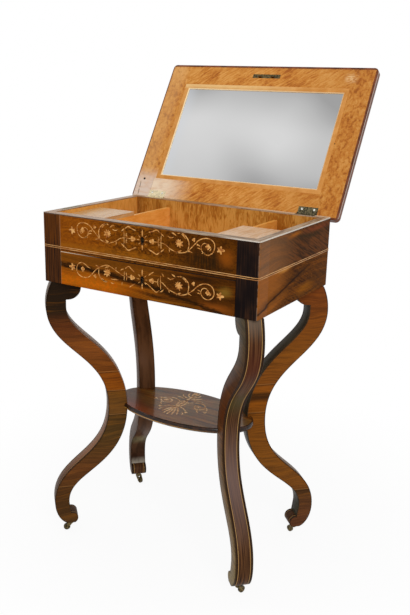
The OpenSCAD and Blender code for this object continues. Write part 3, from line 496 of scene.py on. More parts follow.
def burl_colour(f, place, x, reach):
    """Burl: slanting ripples along the rails, small soft knots on the stiles, a duller right
    half, a paler left edge, a reddish front margin, a painted highlight on the corner beside the
    left hinge, and a dark groove beside it."""
    cloud = f.noise(place, 0.05, 3.0)
    stile = f.step(abs(x), STILE_X - 9 * MM, STILE_X)
    knots = f.noise(place, (0.0075, 0.012, 0.01), 2.0, 0.5, 0.5)
    slanted = f.turned(place, (0.0, 0.0, 0.0), (0.0, 0.0, math.radians(-38)))
    ripple = f.noise(slanted, (0.022, 0.0046, 0.01), 2.0, 0.5, 0.8)
    curl = ripple + (knots - ripple) * stile
    fine = f.noise(place, (0.0050, 0.0014, 0.004), 2.0, 0.5, 1.0)
    mixed = curl * 0.42 + cloud * 0.34 + fine * 0.24
    # patch: a painted highlight, a pale glare on the corner beside the left hinge, broken up by noise
    patch = f.step(x, -0.09, -0.190) * f.step(reach, -0.078, -0.032)
    pale_highlight = f.step(f.noise(place, (0.02, 0.006, 0.03), 3.0), 0.30, 0.60) * 0.3 + 0.7
    dent = f.noise(place, (0.004, 0.010, 0.01))
    groove = f.near(x - reach * 0.09 + (dent - 0.5) * 0.004, -0.2446, 0.0020)
    groove = groove * f.step(reach, -0.038, -0.032) * f.step(reach, 0.0, -0.006)
    return f.layers(
        f.ramp(f.step(mixed, 0.36, 0.62), (0.0, (160, 88, 26)), (0.30, (190, 118, 44)),
               (0.7, (203, 136, 58)), (1.0, (216, 154, 80))),
        (f.step(knots, 0.42, 0.34) * stile * 0.45, (142, 80, 26)),
        (f.step(x, -0.02, 0.24) * 0.22, (142, 82, 26)),
        (f.step(x, -0.205, -0.235) * 0.35, (222, 174, 116)),
        (f.step(reach, -0.342, -0.351) * 0.6, (140, 70, 34)),
        (patch * pale_highlight * 0.95, f.blend(f.step(x, 2 * MM - STILE_X, -STILE_X - 2 * MM),
                                        (238, 218, 192), (222, 202, 186))),
        (groove * f.step(dent, 0.35, 0.50) * 0.8, (74, 52, 40)))


def lid_burl():
    """Lid facing: burl with a butt joint beside each stile, a flaked place, an old screw hole
    and a dot."""
    f, place, x, reach, _ = on_lid("lid_burl", 0.12)
    seam = f.near(abs(x), STILE_X, 0.6 * MM) * f.step(reach, -0.050, -0.046)
    worn = f.near(x, 0.207, 0.020) * f.near(reach, -0.324, 0.016)
    flaked = f.step(f.noise(place, (0.010, 0.003, 0.01), 3.0), 0.40, 0.56)
    marks = [f.step(f.oval(x - at_x, reach - at_reach), size ** 2 * 1.5, size ** 2 * 0.6)
             for at_x, at_reach, size in ((-0.2405, -0.043, 2.8 * MM), (0.210, -0.166, 1.6 * MM))]
    colour = f.layers(burl_colour(f, place, x, reach), (seam * 0.6, (120, 70, 34)),
                      (worn * flaked * 0.9, (232, 194, 142)),
                      (f.maths("MAXIMUM", *marks), (30, 18, 12)))
    return f.polish(colour, place, 0.34, 0.12)


def lid_edge():
    """The lid's moulding: the burl runs out over its face to a dark rounded edge, with a painted
    highlight along its arris on the right side."""
    f, place, x, reach, depth = on_lid("lid_edge", 0.12)
    from_ends = f.maths("MINIMUM", reach + LID_REACH - 1.8 * MM, LID_BACK - reach)
    inward = f.maths("MINIMUM", LID_HALF - abs(x), from_ends)
    grain = f.noise(place, (0.02, 0.02, 0.004), 3.0)
    # arris: a painted highlight along the rounded edge on the right side
    arris = f.near(depth, 5.0 * MM, 1.6 * MM) * f.step(x, LID_HALF - 2 * MM, LID_HALF - 1 * MM)
    face = f.step(inward, 3.6 * MM, 4.6 * MM) * f.step(depth, 5.5 * MM, 4.5 * MM)
    colour = f.layers(f.fade(grain, 0.30, 0.72, (76, 40, 24), (128, 70, 42)),
                      (arris * 0.85, (246, 232, 216)), (face, burl_colour(f, place, x, reach)))
    return f.polish(colour, place, 0.3, 0.12)


def lid_top_veneer():
    """Outside of the lid: long rosewood figure across its width."""
    f, place, x, reach, depth = on_lid("lid_top_veneer", 0.12)
    stops = [(0.0, ROSE_DARK), (0.35, ROSE_DEEP), (0.75, ROSE_MID), (1.0, ROSE_WARM)]
    return f.polish(figure(f, x * 0.5, reach * 0.7, depth, stops, 0.012), place, 0.34, 0.12)


def fillet_wood():
    """Mirror's fillet: golden, with a painted highlight along the front and another at the arris
    by the glass, brightest at the left.
    """
    f, place, x, reach, depth = on_lid("fillet_wood", 0.12)
    cloud = f.noise(place, 0.03, 3.0, 0.6)
    # front and arris: painted highlights, a band along the front and a line at the arris by the glass,
    # stronger to the left
    front = f.step(reach, -0.285, -0.295) * f.step(x, 0.16, -0.08)
    arris = f.step(depth, LID_GAP + 0.7 * MM, LID_GAP + 1.2 * MM)
    colour = f.layers(f.fade(cloud, 0.30, 0.70, (194, 128, 56), (214, 152, 82)),
                      (front * 0.6, (240, 206, 144)),
                      (arris * (f.step(x, 0.20, -0.20) * 0.35 + 0.5), (250, 230, 186)))
    return f.polish(colour, place, 0.3, 0.1)


def mirror_glass():
    """Silvered glass whose colour is a painted reflection: brightest across the middle and at the
    lower left, with painted shade at the right, in the far corner and at the far left, a faint
    cloud and a bluer left edge."""
    f, place, x, reach, _ = on_lid("mirror_glass", Metallic=1.0)
    # The tone is a painted reflection: light across the middle and at the lower left, and painted shade
    # at the right, in the far corner, in a slanting band and at the far left, with a bluer left edge.
    cloud = f.noise(place, (0.12, 0.10, 0.16), 1.0)
    middle = f.near(reach - x * 0.10, -0.180, 0.15)
    left = f.step(x, 0.10, -0.17) * f.step(reach, -0.26, -0.13)
    dull = f.step(x, 0.08, 0.21) * f.step(reach, -0.17, -0.29)
    low = f.step(reach, -0.15, -0.08)
    drift = x - reach * 0.62 - 0.075
    tone = (middle + left * (1 - middle) * 0.7) * 0.9 + cloud * 0.16 - dull * 0.45
    tone = tone - f.step(x, 0.06, 0.20) * f.step(reach, -0.28, -0.20) * (1 - low * 0.6) * 0.4
    tone = tone - f.near(drift, 0.0, 0.10) * f.step(reach, -0.23, -0.085) * 0.27
    tone = tone - f.step(x, -0.08, -0.18) * f.step(reach, -0.20, -0.29) * 0.3
    tone = tone + f.near(x, 0.10, 0.10) * f.near(reach, -0.16, 0.09) * 0.1
    colour = f.ramp(tone, (0.0, (160, 160, 160)), (0.35, (186, 186, 186)), (1.0, (214, 214, 214)))
    colour = f.blend(f.step(x, -0.16, -0.205) * 0.4, colour, (204, 210, 218))
    return f.dress(colour, cloud * 0.04 + 0.02)


def brass(name, dark, light, gloss, pale_from=None, metal=0.85):
    """Old brass: dull brown-green film over warmer metal, with a painted highlight that makes it
    pale left of a given x.
    """
    f, place, x, *_ = on_table(name, Metallic=metal)
    film = f.noise(place, 0.004, 3.0)
    colour = f.fade(film, 0.35, 0.65, dark, light)
    if pale_from is not None:
        # painted highlight: pale metal left of pale_from, broken by the film
        pale_highlight = f.step(x, pale_from, pale_from - 0.01) * (f.step(film, 0.28, 0.60) * 0.3 + 0.6)
        colour = f.blend(pale_highlight, colour, (236, 220, 182))
    return f.dress(colour, film * 0.2 + (gloss - 0.1))


def inlay_wood(name, warm, pale):
    """Marquetry wood: pale, with darker shading in patches and a fine grain."""
    f, place, *_ = on_table(name, 0.12)
    patch = f.noise(place, 0.008, 1.0)
    grain = f.noise(place, (0.012, 0.0012, 0.0012), 1.0)
    colour = f.ramp(f.step(patch * 0.6 + grain * 0.4, 0.36, 0.62), (0.0, (150, 88, 40)),
                    (0.40, warm), (1.0, pale))
    return f.polish(colour, place, 0.36, 0.1)


def string_wood():
    """Light wood of the strings."""
    f, place, *_ = on_table("string_wood", 0.12)
    grain = f.noise(place, (0.02, 0.02, 0.002))
    return f.polish(f.fade(grain, 0.35, 0.65, (168, 112, 60), (214, 164, 104)), place, 0.36, 0.1)


def shelf_veneer():
    """Shelf top: dark red-brown veneer under a thick polish, deeper at the front left, with a
    warm place along the front."""
    f, place, x, y, z = on_table("shelf_veneer", 0.05, Coat_Weight=0.38, Coat_Roughness=0.1)
    clouded = f.step(f.noise(place, 0.03, 3.0, 0.6), 0.38, 0.62)
    front_warm = f.near(y + x * 0.3, MIDDLE - 0.10, 0.05) * f.step(x, 0.02, -0.08)
    colour = f.layers(
        figure(f, x, y, z, [(0.0, (58, 32, 10)), (0.5, (110, 64, 22)), (1.0, (146, 98, 40))]),
        (clouded * 0.35, (92, 84, 48)),
        (f.step(x + y - MIDDLE, -0.05, -0.15) * 0.75, (70, 32, 14)),
        (front_warm * 0.6, (142, 60, 20)))
    return f.polish(colour, place, 0.4, 0.12)


def shelf_edge():
    """The shelf's dark nosing with a golden line round it, worn away at the right."""
    f, place, x, _, z = on_table("shelf_edge", 0.25)
    grain = f.noise(place, (0.02, 0.004, 0.004), 3.0)
    dark = f.ramp(f.step(grain, 0.35, 0.68), (0.0, (26, 16, 11)), (0.6, (46, 27, 18)),
                  (1.0, (70, 42, 26)))
    worn = f.step(f.noise(place, 0.03), 0.25, 0.50) * f.step(x, 0.16, -0.04)
    line = f.near(z, SHELF_LOW + 3.6 * MM, 1.8 * MM) * worn
    return f.polish(f.blend(line, dark, (196, 142, 60)), place, 0.24, 0.12)


def leg_veneer(name, sides, joints, hollows, sheen_tone):
    """Leg: side veneers toned by height, with level grain, butt joints across the band and dark
    edge lines. The hollow side is toned by height too, under dark patches. The outside is a
    panel between light strings and dark margins, with painted sheen on it. The map's first
    number is the way down the leg, and its second is 0 to 1 and 2 to 3 on the sides, 1 to 2
    inside and 3 to 4 outside."""
    f, place, x, y, z = on_table(name, 0.03)
    run, around, _ = f.parts(f.add("UVMap", {"uv_map": "run"}, {}))
    share = (z - CASTOR_TOP) / (CASE_Z - CASTOR_TOP)
    tone, hollow = (f.ramp(share, *[((h - CASTOR_TOP) / (CASE_Z - CASTOR_TOP), c)
                                    for h, *c in heights]) for heights in (sides, hollows))
    bent = z + (f.noise(place, (0.09, 0.09, 0.06), 1.0) - 0.5) * 0.030
    level = f.vector(x, y, bent)
    bands = f.noise(level, (0.12, 0.12, 0.012))
    lines = f.noise(level, (0.07, 0.07, 0.0020), 3.0)
    lines = lines + (f.noise(level, (0.03, 0.03, 0.0009)) - 0.5) * 0.5
    side = f.layers(tone, (f.step(bands * 0.35 + lines * 0.65, 0.56, 0.36) * 0.42, (44, 26, 12)),
                    (f.step(bands * 0.5 + lines * 0.5, 0.50, 0.66) * 0.18, ROSE_GOLD))
    for joint in joints:
        side = f.layers(side, (f.near(z, joint + 1.8 * MM, 1.4 * MM) * 0.35, (186, 132, 76)),
                        (f.near(z, joint, 1.2 * MM) * 0.9, ROSE_DARK))
    edges = f.maths("PINGPONG", around, 0.5)
    side = f.blend(f.step(edges, 0.035, 0.015) * 0.6, side, ROSE_DARK)
    across = edges * LEG_T
    long_grain = f.noise(f.vector(run, around, 7.0), (0.10, 0.05, 1.0))
    # The panel carries painted sheen: grey at the top, olive at the bend and the leg's sheen tone lower
    # down; the reddish band high up is the wood's own.
    panel = f.layers(
        f.fade(long_grain, 0.36, 0.64, (40, 24, 15), (98, 64, 38)),
        (f.near(run, 0.43, 0.15) * 0.55, sheen_tone),
        (f.near(run, 0.10, 0.08) * 0.6, (80, 36, 22)),
        (f.near(run, 0.235, 0.06) * 0.6, (82, 70, 34)),
        (f.step(run, 0.05, 0.0) * 0.6, (112, 98, 84)),
        (f.step(across, 4.6 * MM, 4.2 * MM), (46, 31, 21)),
        (f.near(across, 4.9 * MM, 0.9 * MM), (192, 148, 88)))
    inside = f.step(around, 0.995, 1.005) * f.step(around, 2.005, 1.995)
    worn = f.noise(f.vector(run, around, 3.0), (0.06, 0.4, 1.0))
    colour = f.layers(side, (f.step(around, 2.995, 3.005), panel),
                      (inside, f.blend(f.step(worn, 0.40, 0.65) * 0.5, hollow, ROSE_DARK)))
    return f.polish(colour, place, 0.36, 0.14)


def wrap(rows, cols, close_cols):
    """Quads between neighbours of a grid of points numbered row by row, as corner numbers."""
    i = np.arange(rows - 1)[:, None]
    j = np.arange(cols if close_cols else cols - 1)[None, :]
    a, b = i * cols + j, i * cols + (j + 1) % cols
    return np.stack([a, b, b + cols, a + cols], -1).reshape(-1, 4)


def capped(grid):
    """A grid of points whose first and last rows are drawn together at their middles."""
    first, last = (row.mean(1, keepdims=True).repeat(grid.shape[1], 1)
                   for row in (grid[:1], grid[-1:]))
    return np.concatenate([first, grid, last])


def piece(name, grids, material, body, uv=None):
    """One named piece from grids of points, each closed round its columns. Its map, if any, is
    its only grid's own coordinates, with one column more than the points."""
    points, quads, first = [], [], 0
    for grid in grids:
        rows, cols = grid.shape[:2]
        quads.append(wrap(rows, cols, True) + first)
        points.append(grid.reshape(-1, 3))
        first += rows * cols
    mesh = bpy.data.meshes.new(name)
    mesh.from_pydata(np.concatenate(points).tolist(), [], np.concatenate(quads).tolist())
    if uv is not None:
        corners = uv.reshape(-1, 2)[wrap(*uv.shape[:2], False).reshape(-1)]
        layer = mesh.uv_layers.new(name="run")
        layer.data.foreach_set("uv", corners.astype(np.float32).ravel())
    shape = bmesh.new()
    shape.from_mesh(mesh)
    bmesh.ops.remove_doubles(shape, verts=shape.verts, dist=1e-6)
    bmesh.ops.dissolve_degenerate(shape, edges=shape.edges, dist=1e-7)
    bmesh.ops.recalc_face_normals(shape, faces=shape.faces)
    shape.to_mesh(mesh)
    shape.free()
    mesh.materials.append(material)
    thing = bpy.data.objects.new(name, mesh)
    bpy.context.scene.collection.objects.link(thing)
    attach(thing, body)
    return thing


def smooth(thing):
    """The same piece with every face shaded smoothly."""
    thing.data.polygons.foreach_set("use_smooth", [True] * len(thing.data.polygons))
    return thing


# The legs: the same driving sizes and curves as the frame's
LEG_T = 37 * MM
BAND_W, ANKLE_W = 42 * MM, 32 * MM
KNEE_Z, WAIST_Z, ANKLE_Z, FOOT_FLAT = 541 * MM, 306 * MM, 80 * MM, 26 * MM
KNEE_R, WAIST_IN, ANKLE_IN = 119 * MM, 150 * MM, 22 * MM
FOOT_R, FOOT_IN, SOLE_Z = 14 * MM, 43 * MM, 24 * MM
TOP_R, TOP_IN, TOP_DROP = 26 * MM, 47.5 * MM, 13 * MM
KNEE_PULL, WAIST_PULL_UP, WAIST_PULL_DOWN, ANKLE_PULL = 85 * MM, 135 * MM, 140 * MM, 92 * MM
HEEL_PULL, SOLE_PULL = 0.55, 0.58
FOOT_Z = SOLE_Z + FOOT_R
HEEL_X = ANKLE_W / 2 - ANKLE_IN
LEG_ARRIS = 1.4 * MM
CASTOR_TOP = 30 * MM
SPAN_ROWS, KNEE_ROWS, SCROLL_ROWS, FOOT_ROWS = 49, 24, 24, 47
UPPER = np.array([[-BAND_W / 2, KNEE_Z], [-BAND_W / 2, KNEE_Z - KNEE_PULL],
                  [-WAIST_IN, WAIST_Z + WAIST_PULL_UP], [-WAIST_IN, WAIST_Z]])
LOWER = np.array([[-WAIST_IN, WAIST_Z], [-WAIST_IN, WAIST_Z - WAIST_PULL_DOWN],
                  [-ANKLE_IN, ANKLE_Z + ANKLE_PULL], [-ANKLE_IN, ANKLE_Z]])
HEEL = np.array([[HEEL_X, ANKLE_Z], [HEEL_X, ANKLE_Z - HEEL_PULL * (ANKLE_Z - SOLE_Z)],
                 [-FOOT_IN + SOLE_PULL * (FOOT_IN + HEEL_X), SOLE_Z], [-FOOT_IN, SOLE_Z]])


def cubic(p, t):
    """Points of a cubic curve with four control points, and the unit directions there."""
    t = t[:, None]
    s = 1 - t
    at = s ** 3 * p[0] + 3 * s ** 2 * t * p[1] + 3 * s * t * t * p[2] + t ** 3 * p[3]
    way = s ** 2 * (p[1] - p[0]) + 2 * s * t * (p[2] - p[1]) + t * t * (p[3] - p[2])
    return at, way / np.linalg.norm(way, axis=1, keepdims=True)


def arc(centre, radius, start, end, count):
    """Points of a circular arc between two angles."""
    a = np.linspace(start, end, count)[:, None]
    return np.array(centre) + radius * np.hstack([np.cos(a), np.sin(a)])


def run_along(path):
    """The way along a path at each of its points."""
    return np.r_[0, np.cumsum(np.linalg.norm(np.diff(path, axis=0), axis=1))]


def resample(path, share):
    """Points of a path at given shares of its length."""
    run = run_along(path)
    return np.stack([np.interp(share * run[-1], run, path[:, k]) for k in (0, 1)], -1)


def leg_edges():
    """The leg's outer and inner outline, point against point, seen along its thickness.
    The band is a middle curve moved sideways by half its width, which narrows smoothly from
    waist to ankle. Knee and scrolls are arcs and the heel is a cubic curve. At the foot the
    outer line rounds the scroll to the crease."""
    t = np.linspace(0, 1, SPAN_ROWS)
    upper, up_way = cubic(UPPER, t)
    lower, low_way = cubic(LOWER, t[1:])
    narrowing = t[1:] ** 2 * (3 - 2 * t[1:])
    half = np.r_[np.full(SPAN_ROWS, BAND_W / 2),
                 (BAND_W + (ANKLE_W - BAND_W) * narrowing) / 2][:, None]
    middle, way = np.vstack([upper, lower]), np.vstack([up_way, low_way])
    out = np.stack([-way[:, 1], way[:, 0]], -1)
    outer, inner = middle + half * out, middle - half * out
    top = np.linspace(CASE_Z - KNEE_Z, 0, KNEE_ROWS, endpoint=False)
    knee = np.stack([np.sqrt(KNEE_R ** 2 - top ** 2) - KNEE_R, KNEE_Z + top], -1)
    start = math.pi - math.asin(TOP_DROP / TOP_R)
    end = TURN - math.acos((TOP_IN - BAND_W) / TOP_R)
    scroll = np.vstack([arc((-TOP_IN, CASE_Z - TOP_DROP), TOP_R, start, end, 40),
                        [[-BAND_W, KNEE_Z]]])
    scroll = resample(scroll, np.linspace(0, 1, KNEE_ROWS + 1))[:-1]
    heel, _ = cubic(HEEL, np.linspace(0, 1, SCROLL_ROWS + 1)[1:])
    crease = np.array([FOOT_IN - ANKLE_IN - ANKLE_W / 2, ANKLE_Z - FOOT_Z])
    meet = math.atan2(crease[1], crease[0])
    foot = arc((-FOOT_IN, FOOT_Z), FOOT_R, -math.pi / 2, meet - TURN, FOOT_ROWS + 1)[1:]
    round_foot = np.vstack([heel, foot])
    slide = np.linspace(0, len(round_foot) / len(heel), len(round_foot))
    stay = inner[-1] + (foot[-1] - inner[-1]) * np.clip(slide, 0, 1)[:, None]
    outer, inner = np.vstack([knee, outer, round_foot]), np.vstack([scroll, inner, stay])
    outer[:, 1] = np.maximum(outer[:, 1], FOOT_FLAT)
    return outer, inner


def leg(name, sx, sy, material):
    """One leg: at each step down the leg, a rectangle with rounded arrises stands between the
    outer and the inner outline. The map holds the way down and the side, 0 to 4, round it."""
    outer, inner = leg_edges()
    wide = np.linalg.norm(inner - outer, axis=1)
    way = (inner - outer) / np.maximum(wide, 1e-9)[:, None]
    r = np.minimum(LEG_ARRIS, wide * 0.3)
    half, section, sides = LEG_T / 2, [], []
    for side in range(4):
        for k, t in enumerate(np.linspace(0, math.pi / 2, 4)):
            c, s = 1 - math.cos(t), 1 - math.sin(t)
            section.append([(r * s, half - r * c), (wide - r * c, half - r * s),
                            (wide - r * s, -half + r * c), (r * c, -half + r * s)][side])
            sides.append(side + (k / 3 - 0.5) * 0.02)
        for t in (0.06, 0.5, 0.94):
            a, b = r + (wide - 2 * r) * t, half - r - (LEG_T - 2 * r) * t
            section.append([(a, half + 0 * r), (wide, b), (wide - a, -half + 0 * r),
                            (0 * r, -b)][side])
            sides.append(side + t)
    across, thick = (np.stack([np.broadcast_to(c[k], wide.shape) for c in section], 1)
                     for k in (0, 1))
    flat = outer[:, None, :] + across[..., None] * way[:, None, :]
    corner_x, corner_y = sx * HALF_W, MIDDLE + sy * (BACK - FRONT) / 2
    ux, uy = sx / math.sqrt(2), sy / math.sqrt(2)
    grid = capped(np.stack([corner_x + flat[..., 0] * ux - thick * uy,
                            corner_y + flat[..., 0] * uy + thick * ux, flat[..., 1]], -1))
    run = run_along(outer)
    run = np.r_[run[0], run, run[-1]]
    sides = np.array(sides + [sides[0] + 4])
    uv = np.stack(np.broadcast_arrays(run[:, None], sides[None, :]), -1)
    return smooth(piece(name, [grid], material, "case", uv))


def glide(points, count):
    """A smooth curve through points: every span is a cubic whose ends lean along the line
    between the points on either side."""
    p = np.array(points, float)
    p = np.vstack([2 * p[0] - p[1], p, 2 * p[-1] - p[-2]])
    t = np.linspace(0, len(p) - 3, count)
    k = np.minimum(t.astype(int), len(p) - 4)
    u = (t - k)[:, None]
    a, b, c, d = p[k], p[k + 1], p[k + 2], p[k + 3]
    return 0.5 * (2 * b + (c - a) * u + (2 * a - 5 * b + 4 * c - d) * u ** 2
                  + (3 * b - a - 3 * c + d) * u ** 3)


class Ground:
    """A flat face that inlay is let into: an origin, two directions along it and one out of it.
    Flat places on it are in millimetres."""

    def __init__(self, origin, along, up, out):
        self.origin = np.array(origin)
        self.axes = np.array([along, up, out], float)

    def at(self, flat, proud):
        """Points of the face's frame in the table's frame."""
        flat = np.asarray(flat, float) * MM
        proud = np.broadcast_to(proud, flat.shape[:-1])
        return self.origin + np.concatenate([flat, proud[..., None]], -1) @ self.axes

    def strand(self, width, points):
        """An inlaid strand: a flat strip along a smooth curve, whose width swells with the sine
        of the way along it and is drawn to a point at both ends."""
        length = np.linalg.norm(np.diff(np.array(points, float), axis=0), axis=1).sum()
        count = int(np.clip(length / 1.6, 9, 160))
        path = glide(points, count)
        way = np.gradient(path, axis=0)
        way /= np.linalg.norm(way, axis=1, keepdims=True)
        side = np.stack([-way[:, 1], way[:, 0]], -1)
        t = np.linspace(0, 1, count)
        tip = np.clip(np.minimum(t, 1 - t) * length / 3.5, 0, 1) ** 0.7
        half = (width * 0.38 * tip * (0.68 + 0.32 * np.sin(math.pi * t)))[:, None] * side
        edges = np.stack([path + half, path - half, path - half, path + half], 1)
        return self.at(edges, np.array([INLAY_PROUD, INLAY_PROUD, -INLAY_SUNK, -INLAY_SUNK]))

    def bloom(self, centre, size, lobes, notch, turn, stretch):
        """An inlaid flower or bud: a disc whose radius is cut in by notch between its lobes. The
        first lobe points along turn and is longer by stretch, and those beside it lean to it."""
        a, turn = np.linspace(0, TURN, 60, endpoint=False), math.radians(turn)
        lobe = np.cos(a * lobes / 2) ** 2
        longer = 1 + (stretch - 1) * np.cos(a / 2) ** 4
        radius = size / 2 * (1 - notch + notch * lobe) * longer
        ring = radius[:, None] * np.stack([np.cos(a + turn), np.sin(a + turn)], -1)
        shares = np.array([0, 1, 1, 0.55, 0])[:, None, None]
        top = INLAY_PROUD * 1.2
        proud = np.array([-INLAY_SUNK, -INLAY_SUNK, INLAY_PROUD, top, top])[:, None]
        return self.at(centre + shares * ring[None], proud)


# Marquetry, in millimetres from a keyhole's middle, or from the shelf's middle for the spray.
# A strand is its width and then the x and y of each point of its curve. A bloom is the x and y of
# its middle, and its size, lobes, notch, turn in degrees and stretch.
RAYS = [(3.4, 0, 6.5, 0, 14, 0, 21), (3.8, 0, -7, 0, -13, 0, -20), (2.2, 5.5, 0, 9, 0.4, 13.5, 0.4),
    (2.2, -5.5, 0, -9, 0.4, -13.5, 0.4), (2.0, 4.5, 4.5, 7, 7, 10, 9.5),
    (2.0, -4.5, 4.5, -7, 7, -10, 9.5), (2.0, 4.5, -5, 7, -7, 9.5, -9), (2.0, -4.5, -5, -7, -7, -9.5, -9)]
RAIL_STRANDS = [
    (2.4, 38, 0.4, 46, -0.6, 53.7, -3, 61.2, -8, 71.2, -12.2, 81.2, -14, 89.7, -13.4, 97.5, -11.2,
     103, -7.6, 110, -1, 117.5, 6.5, 124.7, 13.8, 133.7, 18, 143.7, 19.4, 152.5, 17, 157.7, 10.8,
     158.2, 2.5, 154.7, -5.5, 147.2, -10.8, 139.7, -10.6, 133.5, -7, 130.2, -0.6, 131.6, 5.6, 136.4, 9.6,
     142, 8.8, 146, 4.6), (2.6, 122, 5.4, 125.5, 4.6, 129, 2),
    (2.6, 121.5, -0.4, 125.5, -0.6, 129.6, -2.6), (2.4, 146.5, -3.6, 150, -1, 151, 3.4),
    (2.8, 101.2, -8.5, 104.2, 1.5, 103, 10, 98.7, 16.6, 93, 21, 86, 22.8, 78, 21),
    (2.2, 57, 14.5, 64, 12, 71.5, 14), (3.4, 66, 21.5, 71, 20.5, 77, 16.5),
    (3.0, 82, 24, 90, 20.5, 97, 13), (2.6, 100, -9.5, 106, -9, 113, -11), (3.4, 76, -16, 82, -12, 89, -9),
    (2.8, 61, -8, 61.5, -12.5, 62.5, -16), (2.6, 131, -10, 136, -8.5, 141, -11),
    (3.0, 13.5, -15.5, 24, -19.6, 33, -23.2, 41, -17.6), (2.8, 14, 16.5, 24, 19.6, 33, 22.8, 41, 17.8),
    (2.0, 43, 14.5, 42.6, 6, 42.6, -4, 43, -13), (3.4, 41.5, -18.5, 45, -15, 50, -11.5),
    (3.2, 41.5, 18.5, 45, 15.5, 49.5, 12), (1.8, 38.4, 9.5, 36.4, 4, 36.6, -5, 38.6, -11),
    (2.2, 35, 10.5, 38, 7, 38.5, 3), (2.2, 35, -9, 38, -6, 38.5, -2), (2.2, 25, 0.2, 31, 0, 38, 0)]
RAIL_BLOOMS = [(22.5, 0, (11, 3, 0.3, 180, 1.2)), (81, 4.6, (13.5, 9, 0.42, -25, 1.75)),
    (144.6, 3.6, (10.5, 4, 0.3, 90, 1.2)), (169.5, 1, (13.5, 5, 0.5, 0, 1.5)),
    (114, 13.2, (7.5, 3, 0.35, 60, 1.2)), (122.5, 5.2, (4.5, 3, 0.3, 0, 1.0))]
RAIL_LEAN = 0.011
DRAWER_RIGHT = [
    (2.4, 40, 1.6, 46, 0.6, 52.5, -4, 61, -10.2, 71, -13.6, 81, -16.2, 90, -16.6, 98.7, -14, 106, -10,
     113.7, -4.6, 120.5, 2, 127.5, 8, 136.2, 12, 145, 12.8, 152.5, 11, 158, 5.5, 160, -2.6, 157.5, -10,
     150.5, -15.2, 142.5, -16, 135.6, -12.6, 131.8, -6.4, 133, 0.2, 138.2, 4.2, 144, 3.4, 148, -0.6),
    (2.6, 123, -1.4, 127, -1.6, 130.6, -3.4), (2.6, 123, -7, 127, -7.2, 131, -8.6),
    (2.4, 149, -9, 152.4, -6, 153, -1.6),
    (2.8, 103.5, -11, 105.2, -1.4, 104.7, 7.4, 100.5, 13, 94, 17, 86.2, 18.4, 78, 17.2),
    (2.4, 57.5, 12.4, 65, 10, 74, 13.8), (3.2, 67, 21, 71, 18.6, 76, 16), (2.8, 88, 19, 95, 15, 101, 8),
    (2.6, 101, -13.4, 106, -12, 112, -14.5), (3.2, 78, -18, 83.5, -15, 89, -12.6),
    (2.8, 61, -10, 62, -13.6, 62.6, -17), (2.8, 14.5, 9.5, 20, 14.6, 28, 19),
    (2.4, 6, -5, 15, -9, 24, -15, 32.5, -20, 40, -15), (3.0, 41, -18.5, 46.5, -15.4, 50, -12),
    (3.0, 44, 19, 47.5, 16, 49.5, 12.5), (2.0, 42.5, 14, 42.2, 6, 42.6, -6, 43, -14),
    (1.8, 38, 9, 36.2, 3, 36.4, -4, 38.4, -9), (2.2, 26, 0.6, 31, 0.4, 38, 0.4)]
DRAWER_LEFT = [
    (2.4, -40, 1, -47.5, 1.6, -55, 5, -63.7, 9, -73.7, 13.6, -83.7, 16.2, -93.7, 13.8, -103.7, 9.2,
     -111.2, 4.2, -118.7, -3, -125, -10, -132.5, -15, -142.5, -16.8, -152.5, -15.2, -160, -9, -161.2, 1,
     -156.6, 9.6, -147.5, 13, -138.7, 10, -132.5, 6, -125, 3.6),
    (2.8, -104.2, 8, -105.4, -2, -101.6, -11, -93, -16.4, -84, -16),
    (3.6, -99, -11, -91.5, -17.4, -82.5, -16.6), (2.6, -76, -17, -71, -18.5, -65, -17),
    (2.6, -76, -10, -66, -10, -56, -9), (2.6, -103.7, 10.6, -109, 11.4, -114, 12.5),
    (2.6, -62, 9, -63, 12.4, -62, 16), (2.8, -78, 14.6, -84, 12.8, -90, 10.4),
    (2.8, -17, 11, -25, 16.6, -32.5, 21, -41.2, 15), (2.4, -31, -21, -24, -15.5, -16, -11),
    (3.0, -43, 15, -48, 13, -52, 11), (2.8, -47, -12, -48, -15.4, -48, -19),
    (2.0, -42.5, 10, -42.6, 0, -43, -9), (2.2, -38.4, 9.4, -37, 3, -37, -4, -38.4, -8),
    (2.2, -26, 0.6, -31, 0.4, -38, 0.4)]
DRAWER_BLOOMS = [(22.5, 0.5, (11, 3, 0.3, 180, 1.2)), (81.5, 1, (13.5, 9, 0.42, -25, 1.75)),
    (146.5, -4, (9.5, 4, 0.3, 90, 1.3)), (171, -5.5, (13.5, 5, 0.5, 0, 1.5)),
    (115, 9, (7.5, 3, 0.35, 60, 1.2)), (-24, 0.5, (11, 3, 0.3, 0, 1.2)),
    (-82.5, 2.5, (13.5, 9, 0.42, 215, 1.75)), (-145.6, 0.6, (9.5, 4, 0.3, 270, 1.3)),
    (-171, 1, (13.5, 5, 0.5, 180, 1.5)), (-115, -10, (7.5, 3, 0.35, 300, 1.2))]
